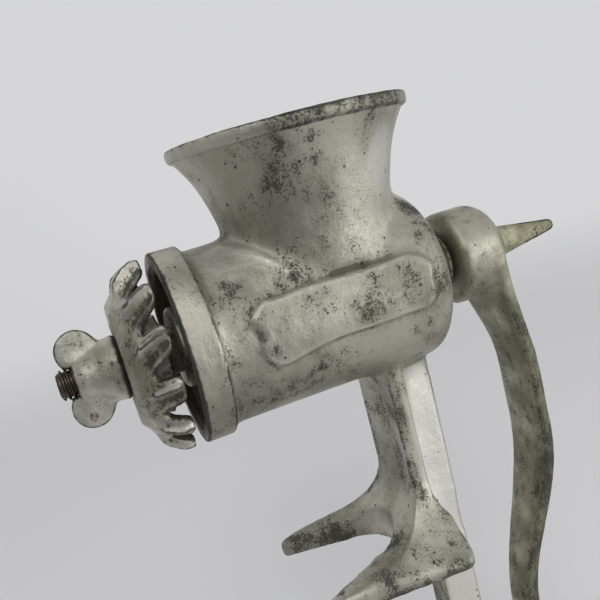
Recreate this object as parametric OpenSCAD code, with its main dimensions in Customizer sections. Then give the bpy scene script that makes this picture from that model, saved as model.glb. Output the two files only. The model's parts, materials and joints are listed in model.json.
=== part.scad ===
// Clamp-on hand meat grinder of tinned cast iron, with a crown cutter.
// +X runs from the outlet back to the crank, +Z is up. The origin lies on the face that rests
// on the table, below the front of the leg. On the barrel, places are counted along the axis
// from the front face of the collar.

/* [Barrel] */
// Height of the barrel's axis above the table
axis_h = 95.5; // [90:0.5:102]
// Distance from the leg's front face forward to the collar's front face
face_reach = 62.3; // [58:0.1:66]
// Length of the barrel from the collar's face to its domed rear end
barrel_len = 80.7; // [78:0.1:83]
// Outside diameter of the barrel behind the collar
barrel_d = 57; // [55:0.2:58]
// How much wider the barrel is at its rear end
barrel_swell = 2; // [1:0.2:3]
// Wall of the barrel
barrel_wall = 3.2; // [2.6:0.1:4]
// How far the collar stands out from the barrel
collar_rise = 2.5; // [2:0.1:4]
// Width of the collar
collar_w = 9.4; // [8:0.1:12]
// Length of the domed rear end
dome_len = 10.3; // [9:0.1:12]
// How far the bore runs on inside the domed end
bore_over = 3; // [1:0.5:4]
// Outside diameter of the bearing boss
boss_d = 21.6; // [20.5:0.1:24]
// Length of the bearing boss behind the dome
boss_len = 6.6; // [5:0.1:8]

// Length of the bare plaque on the near side
plaque_len = 55; // [48:0.5:56]
// Height of the plaque
plaque_h = 11; // [9:0.5:13]
// Distance from the collar's face to the plaque
plaque_s = 24; // [22:0.5:26]
// Drop of the plaque's middle below the barrel's axis
plaque_drop = 2; // [0:0.5:4]
// How far the plaque's frame stands out
plaque_rise = 0.8; // [0.5:0.1:1.2]

/* [Hopper] */
// Outside diameter of the rim
rim_d = 79; // [74:0.5:84]
// Height of the rim above the barrel's axis
rim_h = 59.3; // [54:0.1:64]
// Outside diameter of the neck, where the hopper leaves the barrel
neck_d = 54.8; // [52:0.2:56]
// Height above the barrel's axis where the flare begins
neck_h = 25; // [22:0.5:30]
// Distance of the hopper's centre in front of the leg's front face
hopper_lead = 8.6; // [6:0.1:11]
// Wall of the hopper
hopper_wall = 2.8; // [2.4:0.1:4]
// Height of the thickened lip
lip_h = 2.6; // [2:0.1:4]

/* [Leg and table rest] */
// Width of the leg's front plate
leg_w = 26.8; // [24:0.2:30]
// Thickness of the leg's front plate
leg_t = 6; // [5:0.5:8]
// Width of the spine behind the plate
spine_w = 13; // [11:0.5:15]
// Depth of the spine
spine_d = 13.7; // [12:0.1:17]
// Reach of the prongs in front of the leg
prong_reach = 41; // [37:0.5:45]
// Width of the foot at its heel
rest_w = 63; // [58:0.5:68]
// Width over the tips of the two prongs
tips_w = 51; // [48:0.5:56]
// Thickness of a prong at its tip
prong_tip_h = 5.8; // [4:0.1:7]
// Thickness of a prong at its middle
prong_mid_h = 8.8; // [7.5:0.1:10]
// Radius of the curve from the prongs up into the leg
prong_curve_r = 20; // [14:0.5:24]
// Radius of the gap's round end
gap_r = 14; // [12:0.5:15]
// Distance from the leg's front face to the end of the gap
gap_end = 6.5; // [5:0.5:9]
// Reach of the heel behind the leg's front face
heel_reach = 9.5; // [7.5:0.5:12]
// Height of the heel
heel_h = 8; // [7:0.5:11]

/* [Clamp] */
// Drop from the table rest to the lower jaw
jaw_drop = 52; // [46:1:60]
// Thickness of the lower jaw
jaw_t = 14; // [12:0.5:18]
// Distance of the clamp screw in front of the leg's front face
clamp_reach = 26; // [22:0.5:30]
// Outside diameter of the threaded boss
clamp_boss_d = 25; // [22:0.5:28]
// Diameter of the clamp screw
clamp_screw_d = 12.7; // [11:0.1:13.5]
// Table thickness at which the clamp is shown
table_t = 26; // [22:0.5:30]
// Diameter of the swivel pad
pad_d = 26; // [22:0.5:30]
// Thickness of the swivel pad
pad_t = 6; // [5:0.5:8]
// Diameter of the screw's nose inside the pad
nose_d = 8; // [7:0.5:9]
// Depth of the nose inside the pad
nose_depth = 4; // [3:0.5:4.5]
// Length of the clamp screw from the pad to the wing head
clamp_screw_len = 56; // [54:1:64]
// Span of the wing head
clamp_wing_w = 46; // [40:1:52]
// Height of the wing head
clamp_wing_h = 20; // [17:0.5:24]
// Thickness of the wing head
clamp_wing_t = 5; // [4:0.5:6.5]

/* [Worm] */
// Clearance between the flight and the bore
flight_gap = 0.5; // [0.4:0.1:0.8]
// Pitch of the flight
flight_pitch = 27; // [22:0.5:32]
// Axial thickness of the flight at its edge
flight_edge = 3.4; // [2.6:0.1:4.5]
// Axial thickness of the flight at its root
flight_root = 6; // [5:0.1:8]
// Diameter of the worm's core at the front
core_front_d = 26; // [22:0.5:30]
// Diameter of the worm's core at the rear
core_rear_d = 19; // [17:0.5:21]
// Diameter of the rear journal
journal_d = 16; // [15:0.5:17]
// Side of the square that drives the cutter
drive_sq = 13; // [12:0.1:14]
// Length of the square that drives the cutter
drive_len = 9; // [8:0.1:10]
// Side of the square that the crank sits on
shank_sq = 10.8; // [10:0.1:11]
// Diameter of the front stud
stud_d = 9.52; // [9:0.01:10]
// Distance of the stud's tip in front of the collar
stud_reach = 34.8; // [33:0.1:37]
// Depth of the stud inside the worm
stud_depth = 14; // [10:0.5:18]
// Diameter of the flange in front of the rear wall
flange_d = 26; // [23:0.5:28]
// Thickness of that flange
flange_t = 3; // [2:0.5:4]
// Thickness of the thrust washer
washer_t = 1.2; // [0.8:0.1:2]

/* [Cutter] */
// Distance from the collar's face to the tips of the teeth
tip_gap = 3.4; // [2.8:0.1:4]
// Length of the cutter from its front disc to the tips
cutter_len = 13.2; // [12:0.1:14]
// Diameter of the front disc
disc_d = 39.6; // [37:0.1:42]
// Diameter over the tips
tip_d = 59; // [56:0.2:61]
// Number of teeth
teeth = 12; // [10:1:14]
// Wall of the crown
crown_wall = 3.4; // [3:0.1:4]
// Width of a notch at its round bottom
notch_low_w = 4.4; // [3:0.1:5]
// Width of a notch between the tips
notch_tip_w = 9.8; // [8.5:0.1:10.5]
// Depth of a notch
notch_depth = 6.6; // [5.5:0.1:8]
// Slant of the teeth
tooth_slant = 17; // [10:1:22]
// Radius of the scoop between the ridges of two teeth
scoop_r = 5.4; // [4.5:0.1:6.5]
// Diameter of the cutter's hub
cutter_hub_d = 23; // [21:0.5:25]

// Depth of the scoop between two ridges
scoop_depth = 1.5; // [0.8:0.1:1.8]
// Turn of the crown about the axis
crown_turn = 10; // [0:1:30]

/* [Wing nut] */
// Length of the nut's body
nut_len = 14.4; // [13:0.1:16]
// Diameter of the nut's base
nut_base_d = 20.5; // [19:0.5:22]
// Diameter of the nut's front face
nut_face_d = 12.6; // [12:0.1:14]
// Diameter of a lobe
lobe_d = 12.8; // [11:0.1:15]
// Distance of a lobe's centre from the axis
lobe_off = 8.8; // [8:0.1:11]
// Distance of a lobe's centre in front of the nut's base
lobe_rise = 11.8; // [10:0.1:13]
// Thickness of a lobe at its rim
lobe_t = 3.6; // [3:0.1:4.5]
// Turn of the wings about the axis
wing_turn = -8; // [-90:1:90]

/* [Crank] */
// Distance from the bearing boss to the crank's hub
crank_gap = 1.2; // [1:0.1:2.5]
// Diameter of the crank's hub
hub_d = 33.4; // [31:0.1:36]
// Length of the crank's hub
hub_len = 19.3; // [17:0.1:21]
// Distance from the barrel's axis to the grip's axis
crank_r = 184; // [176:1:192]
// Width of the arm's upper half
arm_w_top = 20; // [17:0.5:23]
// Width of the arm near the grip
arm_w_low = 12.5; // [11:0.5:15]
// Thickness of the arm
arm_t = 7.6; // [6.5:0.1:9]
// Distance from the hub's rear face forward to the middle of the arm
arm_set = 5.2; // [4.6:0.1:6.5]
// How far the arm bows out behind its place at the hub
arm_bow = 9.5; // [6:0.5:12]
// How far the arm's lower end stands in front of its place at the hub
arm_tuck = 9; // [5:0.5:12]
// Diameter of the eye at the arm's end
eye_d = 20; // [18:0.5:23]
// Thickness of the eye
eye_t = 9; // [8:0.5:11]

/* [Thumb screw] */
// Diameter of the thumb screw's thread
thumb_d = 7.94; // [7:0.01:8]
// Length of the thread inside the worm
thumb_depth = 16; // [12:1:20]
// Diameter of the collar
thumb_collar_d = 17; // [16.5:0.5:20]
// Thickness of the collar
thumb_collar_t = 2.6; // [2:0.1:4]
// Length of the head behind the collar
thumb_head_len = 25; // [20:0.5:28]
// Width of the spade
thumb_spade_w = 19; // [16:0.5:24]
// Thickness of the spade at its root
thumb_root_t = 8; // [6.5:0.1:9]
// Thickness of the spade at its tip
thumb_tip_t = 4.2; // [3.5:0.1:5]
// Turn of the spade about the axis
thumb_turn = 12; // [-90:1:90]

/* [Grip] */
// Length of the wooden grip
grip_len = 84; // [74:1:95]
// Largest diameter of the grip
grip_d = 27; // [24:0.5:31]
// Diameter of the spindle
spindle_d = 6.4; // [6:0.1:7.5]
// Diameter of the washers
grip_washer_d = 15; // [13:0.5:17]
// Thickness of a washer
grip_washer_t = 1.2; // [1:0.1:1.8]

/* [Fits] */
// Clearance at the side of a running fit
run_fit = 0.05; // [0.03:0.01:0.08]
// Clearance that the grip has along its spindle
end_play = 0.3; // [0.2:0.1:0.6]

/* [Hidden] */

$fn = 96;
tin = [0.70, 0.70, 0.66];
worn_tin = [0.62, 0.62, 0.58];
steel = [0.45, 0.43, 0.40];
fibre = [0.45, 0.28, 0.18];
beech = [0.72, 0.52, 0.33];

bore_d = barrel_d - 2 * barrel_wall;
barrel_rear_d = barrel_d + barrel_swell;
collar_d = barrel_d + 2 * collar_rise;
rear_face = barrel_len + dome_len + boss_len;
bore_end = barrel_len + bore_over;
hub_face = rear_face + crank_gap;
hub_back = hub_face + hub_len;
hub_mid = hub_face + hub_len / 2;
arm_s = hub_back - arm_set;
disc_face = -tip_gap - cutter_len;
nut_face = disc_face - nut_len;
jaw_low = -jaw_drop - jaw_t;
screw_top = -table_t - pad_t;
wing_top = screw_top - clamp_screw_len;
eye_x = arm_s - arm_tuck - face_reach;
grip_z = axis_h - crank_r;
grip_start = eye_x + eye_t / 2 + grip_washer_t + end_play;
plaque_frame = 1.6;
eps = 0.01;

// Points of an arc about [x, y], from angle a0 to a1
function arc(x, y, r, a0, a1, n = 12) =
    [for (i = [0:n]) let (a = a0 + (a1 - a0) * i / n) [x + r * cos(a), y + r * sin(a)]];

// Smooth step from 0 to 1 as t goes from 0 to 1
function ease(t) = let (u = max(0, min(1, t))) u * u * (3 - 2 * u);

// Puts what is drawn along +Z onto the barrel's axis, s behind the collar's face
module on_axis(s = 0) {
    translate([s - face_reach, 0, axis_h]) rotate([0, 90, 0]) children();
}

// A side view drawn in X and Z, given a width w across Y
module side_view(w) {
    translate([0, w / 2, 0]) rotate([90, 0, 0]) linear_extrude(w) children();
}

// A solid through rings of points: each ring has the same count, and turns the way it is swept
module loft(rings) {
    n = len(rings[0]);
    last = n * (len(rings) - 1);
    points = [for (r = rings) each r];
    sides = [for (i = [0:n:last - n], k = [0:n - 1]) let (a = i + k, b = i + (k + 1) % n)
        each [[a, b + n, b], [a, a + n, b + n]]];
    polyhedron(points, concat(sides, [[for (k = [0:n - 1]) k]],
        [[for (k = [n - 1:-1:0]) last + k]]), convexity = 6);
}

// Radius of the hopper's outside at t, from the neck (0) to the underside of the lip (1)
function hopper_r(t) = neck_d / 2 + (rim_d - neck_d) / 2 * (0.55 * t + 0.42 * pow(t, 4));

// Outline of the hopper from the barrel's axis up; grow is 0 outside and less than 0 inside
function hopper_profile(grow) = concat([[0, 0], [neck_d / 2 + grow, 0]],
    [for (i = [0:10]) [hopper_r(i / 10) + grow, neck_h + (rim_h - lip_h - neck_h) * i / 10]]);

// The dome is a quarter of a flattened oval
module barrel_outside() {
    bulge = 2.2;
    rotate_extrude() polygon(concat(
        [[0, 0], [collar_d / 2 - 1, 0], [collar_d / 2, 1], [collar_d / 2, collar_w - 1.2],
            [collar_d / 2 - 1.2, collar_w], [barrel_d / 2, collar_w]],
        [for (i = [0:12]) let (t = 1 - pow(1 - i / 13, 1.4),
            r = barrel_rear_d / 2 * pow(1 - pow(t, bulge), 1 / bulge))
            if (r > boss_d / 2) [r, barrel_len + dome_len * t]],
        [[boss_d / 2, barrel_len + dome_len - 0.4], [boss_d / 2, rear_face - 0.5],
            [boss_d / 2 - 0.5, rear_face], [0, rear_face]]));
}

module barrel_inside() {
    translate([0, 0, -1]) cylinder(h = bore_end + 1, d = bore_d);
    translate([0, 0, -eps]) cylinder(h = 1.2, d1 = bore_d + 2.4, d2 = bore_d);
    translate([0, 0, bore_end - 1]) cylinder(h = rear_face, d = journal_d + 2 * run_fit);
}

// The lip is a plain band with broken edges
module hopper_outside() {
    r = rim_d / 2;
    rotate_extrude() polygon(concat(hopper_profile(0), [[r - 0.5, rim_h - lip_h],
        [r, rim_h - lip_h + 0.5], [r, rim_h - 0.7], [r - 0.7, rim_h], [0, rim_h]]));
}

module hopper_inside() {
    r = rim_d / 2 - hopper_wall;
    rotate_extrude() polygon(concat(hopper_profile(-hopper_wall), [[r, rim_h - 1],
        [r + 2, rim_h + 1], [0, rim_h + 1]]));
}

// A bare plaque with a raised frame, wrapped on the barrel's near side
module plaque() {
    module block(margin) {
        translate([plaque_s - face_reach + margin, -barrel_d / 2 - 5,
            axis_h - plaque_drop - plaque_h / 2 + margin])
            cube([plaque_len - 2 * margin, barrel_d / 2, plaque_h - 2 * margin]);
    }
    intersection() {
        on_axis() difference() {
            cylinder(h = barrel_len, d1 = barrel_d + 2 * plaque_rise,
                d2 = barrel_rear_d + 2 * plaque_rise);
            translate([0, 0, -1]) cylinder(h = barrel_len + 2, d = barrel_d - 2);
        }
        difference() {
            block(0);
            block(plaque_frame);
        }
    }
}

// Leg and prongs from the side: the prongs' top runs in a curve up into the leg's front face
module leg_side() {
    heel_curve_r = 14;
    polygon(concat(
        [[-prong_reach, 0], [-prong_reach, prong_tip_h - 1], [-prong_reach + 1, prong_tip_h]],
        arc(-prong_curve_r, prong_mid_h + prong_curve_r, prong_curve_r, -90, 0, 10),
        [[0, axis_h], [leg_t, axis_h]],
        arc(leg_t + heel_curve_r, heel_h + heel_curve_r, heel_curve_r, 180, 220, 8),
        [[heel_reach, heel_h - 2], [heel_reach, 0]]));
}

// Leg from the front: it spreads in a curve towards the table
module leg_front() {
    spread = (rest_w - leg_w) / 2;
    rise = 28;
    sweep_r = (rise * rise + spread * spread) / (2 * spread);
    foot_edge = 3.2;
    half = concat([[0, 0], [rest_w / 2, 0]],
        [for (i = [0:10]) let (z = rise * i / 10)
            [leg_w / 2 + sweep_r - sqrt(sweep_r * sweep_r - pow(rise - z, 2)), foot_edge + z]],
        [[leg_w / 2, axis_h], [0, axis_h]]);
    for (m = [0, 1]) mirror([m, 0]) polygon(half);
}

// Leg and prongs from above: the foot widens towards its heel, and a round-ended gap opens
// forwards between the prongs
module leg_plan() {
    tip_r = 2.6;
    heel_r = 5;
    tip_x = -prong_reach + tip_r;
    heel_x = heel_reach - heel_r;
    outer = tips_w / 2;
    inner = outer - 2 * tip_r;
    gap_x = -gap_end - gap_r;
    difference() {
        union() {
            polygon([[tip_x, outer], [heel_x, rest_w / 2], [heel_x, -rest_w / 2],
                [tip_x, -outer]]);
            translate([heel_x - 1, heel_r - rest_w / 2]) square([heel_r + 1, rest_w - 2 * heel_r]);
            for (j = [-1, 1]) {
                translate([heel_x, j * (rest_w / 2 - heel_r)]) circle(heel_r);
                translate([tip_x, j * (outer - tip_r)]) circle(tip_r);
            }
        }
        translate([gap_x, 0]) circle(gap_r);
        polygon([[gap_x, gap_r], [tip_x, inner], [-prong_reach - 1, inner],
            [-prong_reach - 1, -inner], [tip_x, -inner], [gap_x, -gap_r]]);
    }
}

module leg() {
    intersection() {
        side_view(rest_w + 2) leg_side();
        translate([-prong_reach - 1, 0, 0]) rotate([90, 0, 90])
            linear_extrude(prong_reach + heel_reach + 2) leg_front();
        translate([0, 0, -1]) linear_extrude(axis_h + 2) leg_plan();
    }
}

// The spine runs down behind the leg and turns forwards under the table as the lower jaw
module spine() {
    back = leg_t + spine_d;
    out_r = 17;
    in_r = 6;
    side_view(spine_w) polygon(concat(
        [[leg_t - 1, axis_h], [leg_t - 1, 2], [leg_t, 0]],
        arc(leg_t - in_r, -jaw_drop + in_r, in_r, 0, -90, 6),
        [[-clamp_reach, -jaw_drop], [-clamp_reach, jaw_low]],
        arc(back - out_r, jaw_low + out_r, out_r, -90, 0, 10),
        [[back, axis_h]]));
    translate([-clamp_reach, 0, jaw_low - 1]) cylinder(h = jaw_t + 2, d = clamp_boss_d);
}

module body() {
    color(tin) difference() {
        union() {
            on_axis() barrel_outside();
            translate([-hopper_lead, 0, axis_h]) hopper_outside();
            plaque();
            leg();
            spine();
        }
        on_axis() barrel_inside();
        translate([-hopper_lead, 0, axis_h]) hopper_inside();
        translate([-clamp_reach, 0, jaw_low - 2])
            cylinder(h = jaw_t + 4, d = clamp_screw_d + 2 * run_fit);
    }
}

// One helical rib: each ring is a trapezium across the flight, swept about the axis
module flight(s0, s1) {
    per_turn = 24;
    n = ceil((s1 - s0) / flight_pitch * per_turn);
    r_out = bore_d / 2 - flight_gap;
    function core_r(s) = (core_front_d + (core_rear_d - core_front_d)
        * ease((s - s0) / (s1 - s0))) / 2 - 1;
    function ring(i) = let (s = s0 + (s1 - s0) * i / n, a = 360 * i / per_turn, c = core_r(s))
        [for (p = [[c, flight_root / 2], [r_out, flight_edge / 2],
            [r_out, -flight_edge / 2], [c, -flight_root / 2]])
            [p[0] * cos(a), p[0] * sin(a), s + p[1]]];
    loft([for (i = [0:n]) ring(i)]);
}

module worm() {
    flange_s = bore_end - washer_t - flange_t;
    s0 = flight_root / 2 + 1;
    s1 = flange_s - flight_root / 2;
    color(worn_tin) on_axis() difference() {
        union() {
            rotate_extrude() polygon(concat([[0, 0], [core_front_d / 2 - 1, 0],
                [core_front_d / 2, 1]],
                [for (i = [0:8]) let (t = i / 8) [(core_front_d + (core_rear_d - core_front_d)
                    * ease(t)) / 2, s0 + (s1 - s0) * t]],
                [[core_rear_d / 2, flange_s], [0, flange_s]]));
            flight(s0, s1);
            translate([0, 0, flange_s - eps]) cylinder(h = flange_t + eps, d = flange_d);
            cylinder(h = hub_face, d = journal_d);
            translate([-drive_sq / 2, -drive_sq / 2, -drive_len])
                cube([drive_sq, drive_sq, drive_len + 1]);
            translate([-shank_sq / 2, -shank_sq / 2, hub_face - 1])
                cube([shank_sq, shank_sq, hub_len - 0.5 + 1]);
        }
        translate([0, 0, -drive_len - 1]) cylinder(h = drive_len + stud_depth + 1, d = stud_d);
        translate([0, 0, hub_back - 0.5 - thumb_depth - 2])
            cylinder(h = thumb_depth + 4, d = thumb_d + 2 * run_fit);
    }
}

module front_stud() {
    color(steel) on_axis(-stud_reach) difference() {
        cylinder(h = stud_reach + stud_depth, d = stud_d);
        difference() {
            translate([0, 0, -1]) cylinder(h = 1.8, d = stud_d + 2);
            translate([0, 0, -eps]) cylinder(h = 0.9, d1 = stud_d - 1.6, d2 = stud_d + 0.2);
        }
    }
}

module thrust_washer() {
    color(fibre) on_axis(bore_end - washer_t) difference() {
        cylinder(h = washer_t, d = flange_d - 1);
        translate([0, 0, -1]) cylinder(h = washer_t + 2, d = journal_d + 2 * run_fit);
    }
}

// Slanted notches between the crown's teeth, cut from the side: they widen towards the tips in
// a curve, so that each tooth is a leaf
module notches() {
    low = -notch_depth + notch_low_w / 2;
    half = [for (i = [0:5]) let (t = i / 5)
        [notch_low_w / 2 + (notch_tip_w - notch_low_w) / 2 * pow(t, 1.6), low * (1 - t)]];
    outline = concat(half, [[notch_tip_w / 2, notch_depth]]);
    for (i = [0:teeth - 1]) rotate([0, 0, 360 * (i + 0.5) / teeth])
        translate([cutter_hub_d / 2 + 2.5, 0, 0]) rotate([tooth_slant, 0, 0])
        rotate([90, 0, 90]) linear_extrude(tip_d) {
            translate([0, low]) circle(d = notch_low_w);
            for (m = [0, 1]) mirror([m, 0]) polygon(concat([[-eps, low]], outline,
                [[-eps, notch_depth]]));
        }
}

// A scoop runs from the disc into each notch, so that every tooth is left with a ridge
module scoops(low_r, high_r, rise) {
    // The crown stands out this far from a straight cone
    crown_bulge = 1.3;
    lean = atan2(high_r - low_r, rise);
    middle = (low_r + high_r) / 2 + crown_bulge;
    off = scoop_r - scoop_depth;
    for (i = [0:teeth - 1]) rotate([0, 0, 360 * (i + 0.42) / teeth])
        translate([middle + off * cos(lean), 0, -rise / 2 - off * sin(lean)])
        rotate([tooth_slant, lean, 0]) cylinder(h = 3 * rise, r = scoop_r, center = true);
}

module cutter() {
    tip_r = tip_d / 2;
    disc_r = disc_d / 2;
    disc_t = 2;
    rise = cutter_len - disc_t;
    // Distance from the axis and from the tips, along the outside of the crown
    function crown(t) = [disc_r + (tip_r - disc_r) * (1 - pow(1 - t, 1.5)), rise * (t - 1)];
    color(worn_tin) on_axis(-tip_gap) difference() {
        union() {
            difference() {
                rotate_extrude() polygon(concat([[0, -cutter_len], [disc_r - 1, -cutter_len],
                    [disc_r, -cutter_len + 1]],
                    [for (i = [0:7]) crown(i / 7)],
                    [for (i = [7:-1:1]) crown(i / 7) - [crown_wall, 0]],
                    [[cutter_hub_d / 2 - 1, -cutter_len + crown_wall],
                        [0, -cutter_len + crown_wall]]));
                rotate([0, 0, crown_turn]) {
                    notches();
                    scoops(disc_r, tip_r, rise);
                }
            }
            translate([0, 0, -cutter_len]) cylinder(h = cutter_len, d = cutter_hub_d);
        }
        translate([0, 0, -cutter_len / 2])
            cube([drive_sq + 2 * run_fit, drive_sq + 2 * run_fit, cutter_len + 4], center = true);
    }
}

module wing_nut() {
    base_edge = 0.9;
    face_edge = 2.4;
    // Outline of the nut's body, from its base (0) to its front face (1)
    function bell(t) = [nut_face_d / 2 + 0.8 + (nut_base_d / 2 - nut_face_d / 2 - 0.8) * (1 - ease(t)),
        base_edge + (nut_len - base_edge - face_edge) * t];
    color(worn_tin) on_axis(disc_face) mirror([0, 0, 1]) rotate([0, 0, wing_turn]) difference() {
        union() {
            rotate_extrude() polygon(concat([[0, 0], [nut_base_d / 2 - 0.6, 0]],
                [for (i = [0:6]) bell(i / 6)], [[nut_face_d / 2, nut_len], [0, nut_len]]));
            for (i = [-1, 1]) hull() {
                translate([i * lobe_off, lobe_t / 2, lobe_rise]) rotate([90, 0, 0])
                    cylinder(h = lobe_t, d = lobe_d, $fn = 40);
                translate([i * 3, 0, 3]) cylinder(h = 8, d = 7, $fn = 24);
            }
        }
        translate([0, 0, -1]) cylinder(h = nut_len + lobe_d, d = stud_d + 2 * run_fit);
    }
}

// Middle line of the arm, in X and Z from its place at the hub, as the arm goes down by z
function arm_x(z) = let (t = z / crank_r)
    arm_bow * ease(t / 0.26) - (arm_bow + arm_tuck) * ease((t - 0.4) / 0.383);
function arm_half_w(z) = (arm_w_top + (arm_w_low - arm_w_top) * ease((z / crank_r - 0.435) / 0.313)
    + (hub_d - arm_w_top) * (1 - ease(z / hub_d / 1.2))) / 2;

// The arm is a flat oval bar swept down its middle line, square to it
module arm() {
    rings = 30;
    around = 20;
    function tilt(z) = atan((arm_x(z + 0.5) - arm_x(z - 0.5)));
    function ring(i) = let (z = crank_r * i / rings, w = arm_half_w(z), b = tilt(z))
        [for (k = [0:around - 1]) let (a = 360 * k / around, c = cos(a), s = sin(a),
            u = arm_t / 2 * sign(c) * pow(abs(c), 0.62), v = w * sign(s) * pow(abs(s), 0.62))
            [arm_x(z) + u * cos(b), v, -z + u * sin(b)]];
    loft([for (i = [rings:-1:0]) ring(i)]);
}

module crank() {
    hub_round = 7;
    color(tin) difference() {
        union() {
            on_axis(hub_face) rotate_extrude() polygon(concat([[0, 0], [hub_d / 2 - 1.5, 0],
                [hub_d / 2, 1.5]], arc(hub_d / 2 - hub_round, hub_len - hub_round, hub_round, 0, 90, 6),
                [[0, hub_len]]));
            translate([arm_s - face_reach, 0, axis_h]) arm();
            translate([eye_x - eye_t / 2, 0, grip_z]) rotate([0, 90, 0])
                rotate_extrude() polygon([[0, 0], [eye_d / 2 - 1, 0], [eye_d / 2, 1],
                    [eye_d / 2, eye_t - 1], [eye_d / 2 - 1, eye_t], [0, eye_t]]);
        }
        on_axis(hub_mid) cube([shank_sq + 2 * run_fit, shank_sq + 2 * run_fit, hub_len + 6],
            center = true);
        translate([eye_x - eye_t, 0, grip_z]) rotate([0, 90, 0])
            cylinder(h = 2 * eye_t, d = spindle_d);
    }
}

module thumb_screw() {
    color(worn_tin) on_axis(hub_back) rotate([0, 0, -thumb_turn]) {
        translate([0, 0, -thumb_depth]) cylinder(h = thumb_depth + 1, d = thumb_d);
        cylinder(h = thumb_collar_t, d = thumb_collar_d);
        hull() {
            translate([0, 0, thumb_collar_t - eps]) cylinder(h = 1, d = thumb_root_t + 4, $fn = 32);
            translate([0, thumb_spade_w / 2 - 3, thumb_head_len / 2 + 1]) rotate([90, 0, 0])
                cylinder(h = thumb_spade_w - 6, d = thumb_root_t - 0.6, $fn = 32);
        }
        hull() {
            translate([0, thumb_spade_w / 2 - 3, thumb_head_len / 2 + 1]) rotate([90, 0, 0])
                cylinder(h = thumb_spade_w - 6, d = thumb_root_t - 0.6, $fn = 32);
            translate([0, thumb_spade_w / 2 - 1, thumb_head_len - thumb_tip_t / 2])
                rotate([90, 0, 0]) cylinder(h = thumb_spade_w - 2, d = thumb_tip_t, $fn = 32);
        }
    }
}

module grip_spindle() {
    head_h = 2.6;
    reach = grip_start + grip_len + grip_washer_t + 2 * end_play - (eye_x - eye_t / 2);
    color(steel) translate([eye_x - eye_t / 2, 0, grip_z]) rotate([0, 90, 0]) {
        cylinder(h = reach + 0.5, d = spindle_d);
        translate([0, 0, reach]) rotate_extrude() polygon(concat([[0, 0]],
            [for (i = [0:5]) let (a = 90 * i / 5) [spindle_d * cos(a), head_h * sin(a)]]));
        translate([0, 0, -1]) cylinder(h = 1 + eps, d1 = spindle_d + 1.4, d2 = spindle_d + 2.6);
    }
}

// One washer against the arm's eye and one under the spindle's head
module grip_washers() {
    far = grip_start + grip_len + end_play;
    color(steel) for (x = [eye_x + eye_t / 2, far])
        translate([x, 0, grip_z]) rotate([0, 90, 0]) difference() {
            cylinder(h = grip_washer_t, d = grip_washer_d);
            translate([0, 0, -1]) cylinder(h = grip_washer_t + 2, d = spindle_d + 2 * run_fit);
        }
}

// Turned grip: two shallow swells with a waist between
module wooden_grip() {
    function turned(t) = grip_d / 2 * (0.86 + 0.14 * sin(360 * (0.9 * t - 0.12)) - 0.06 * t)
        * sqrt(max(0, 1 - pow(abs(2 * t - 1), 9)));
    color(beech) translate([grip_start, 0, grip_z]) rotate([0, 90, 0]) difference() {
        rotate_extrude() polygon(concat([[0, 0], [grip_washer_d / 2, 0]],
            [for (i = [1:19]) let (t = i / 20) [turned(t), grip_len * t]],
            [[grip_washer_d / 2, grip_len], [0, grip_len]]));
        translate([0, 0, -1]) cylinder(h = grip_len + 2, d = spindle_d + 2 * run_fit);
    }
}

module clamp_pad() {
    color(worn_tin) translate([-clamp_reach, 0, -table_t - pad_t]) difference() {
        rotate_extrude() polygon([[0, 0], [pad_d / 2 - 3, 0], [pad_d / 2, 2.5],
            [pad_d / 2, pad_t - 0.8], [pad_d / 2 - 0.8, pad_t], [0, pad_t]]);
        translate([0, 0, -1]) cylinder(h = nose_depth + 1, d = nose_d + 2 * run_fit);
    }
}

// The wing head is drawn flat, round lobes either side of the shank
module clamp_screw() {
    lobe_r = clamp_wing_h / 2;
    color(worn_tin) translate([-clamp_reach, 0, screw_top]) {
        cylinder(h = nose_depth, d = nose_d);
        translate([0, 0, -clamp_screw_len - 2]) cylinder(h = clamp_screw_len + 2, d = clamp_screw_d);
        for (i = [-1, 1]) hull() {
            translate([i * (clamp_wing_w / 2 - lobe_r), clamp_wing_t / 2,
                -clamp_screw_len - lobe_r]) rotate([90, 0, 0])
                cylinder(h = clamp_wing_t, r = lobe_r, $fn = 40);
            translate([0, 0, -clamp_screw_len - 0.7 * clamp_wing_h])
                cylinder(h = 0.7 * clamp_wing_h, d = clamp_wing_t + 4, $fn = 24);
        }
        translate([0, 0, -clamp_screw_len - 8]) cylinder(h = 8 + eps, d1 = 9, d2 = clamp_screw_d);
    }
}

body();
worm();
front_stud();
thrust_washer();
cutter();
wing_nut();
crank();
thumb_screw();
grip_spindle();
grip_washers();
wooden_grip();
clamp_screw();
clamp_pad();
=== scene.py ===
"""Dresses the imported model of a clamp-on hand meat grinder of tinned cast iron.

Lengths are millimetres until a mesh is made. The frame is the CAD model's own: +X runs from the
outlet to the crank, +Z is up, and the origin lies on the face that rests on the table.
"""

from __future__ import annotations

import json
import logging
import math
from dataclasses import dataclass, field
from enum import Enum
from typing import Any, Callable, Sequence

import bmesh
import bpy
import numpy as np
from mathutils import Matrix, Vector, noise

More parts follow.
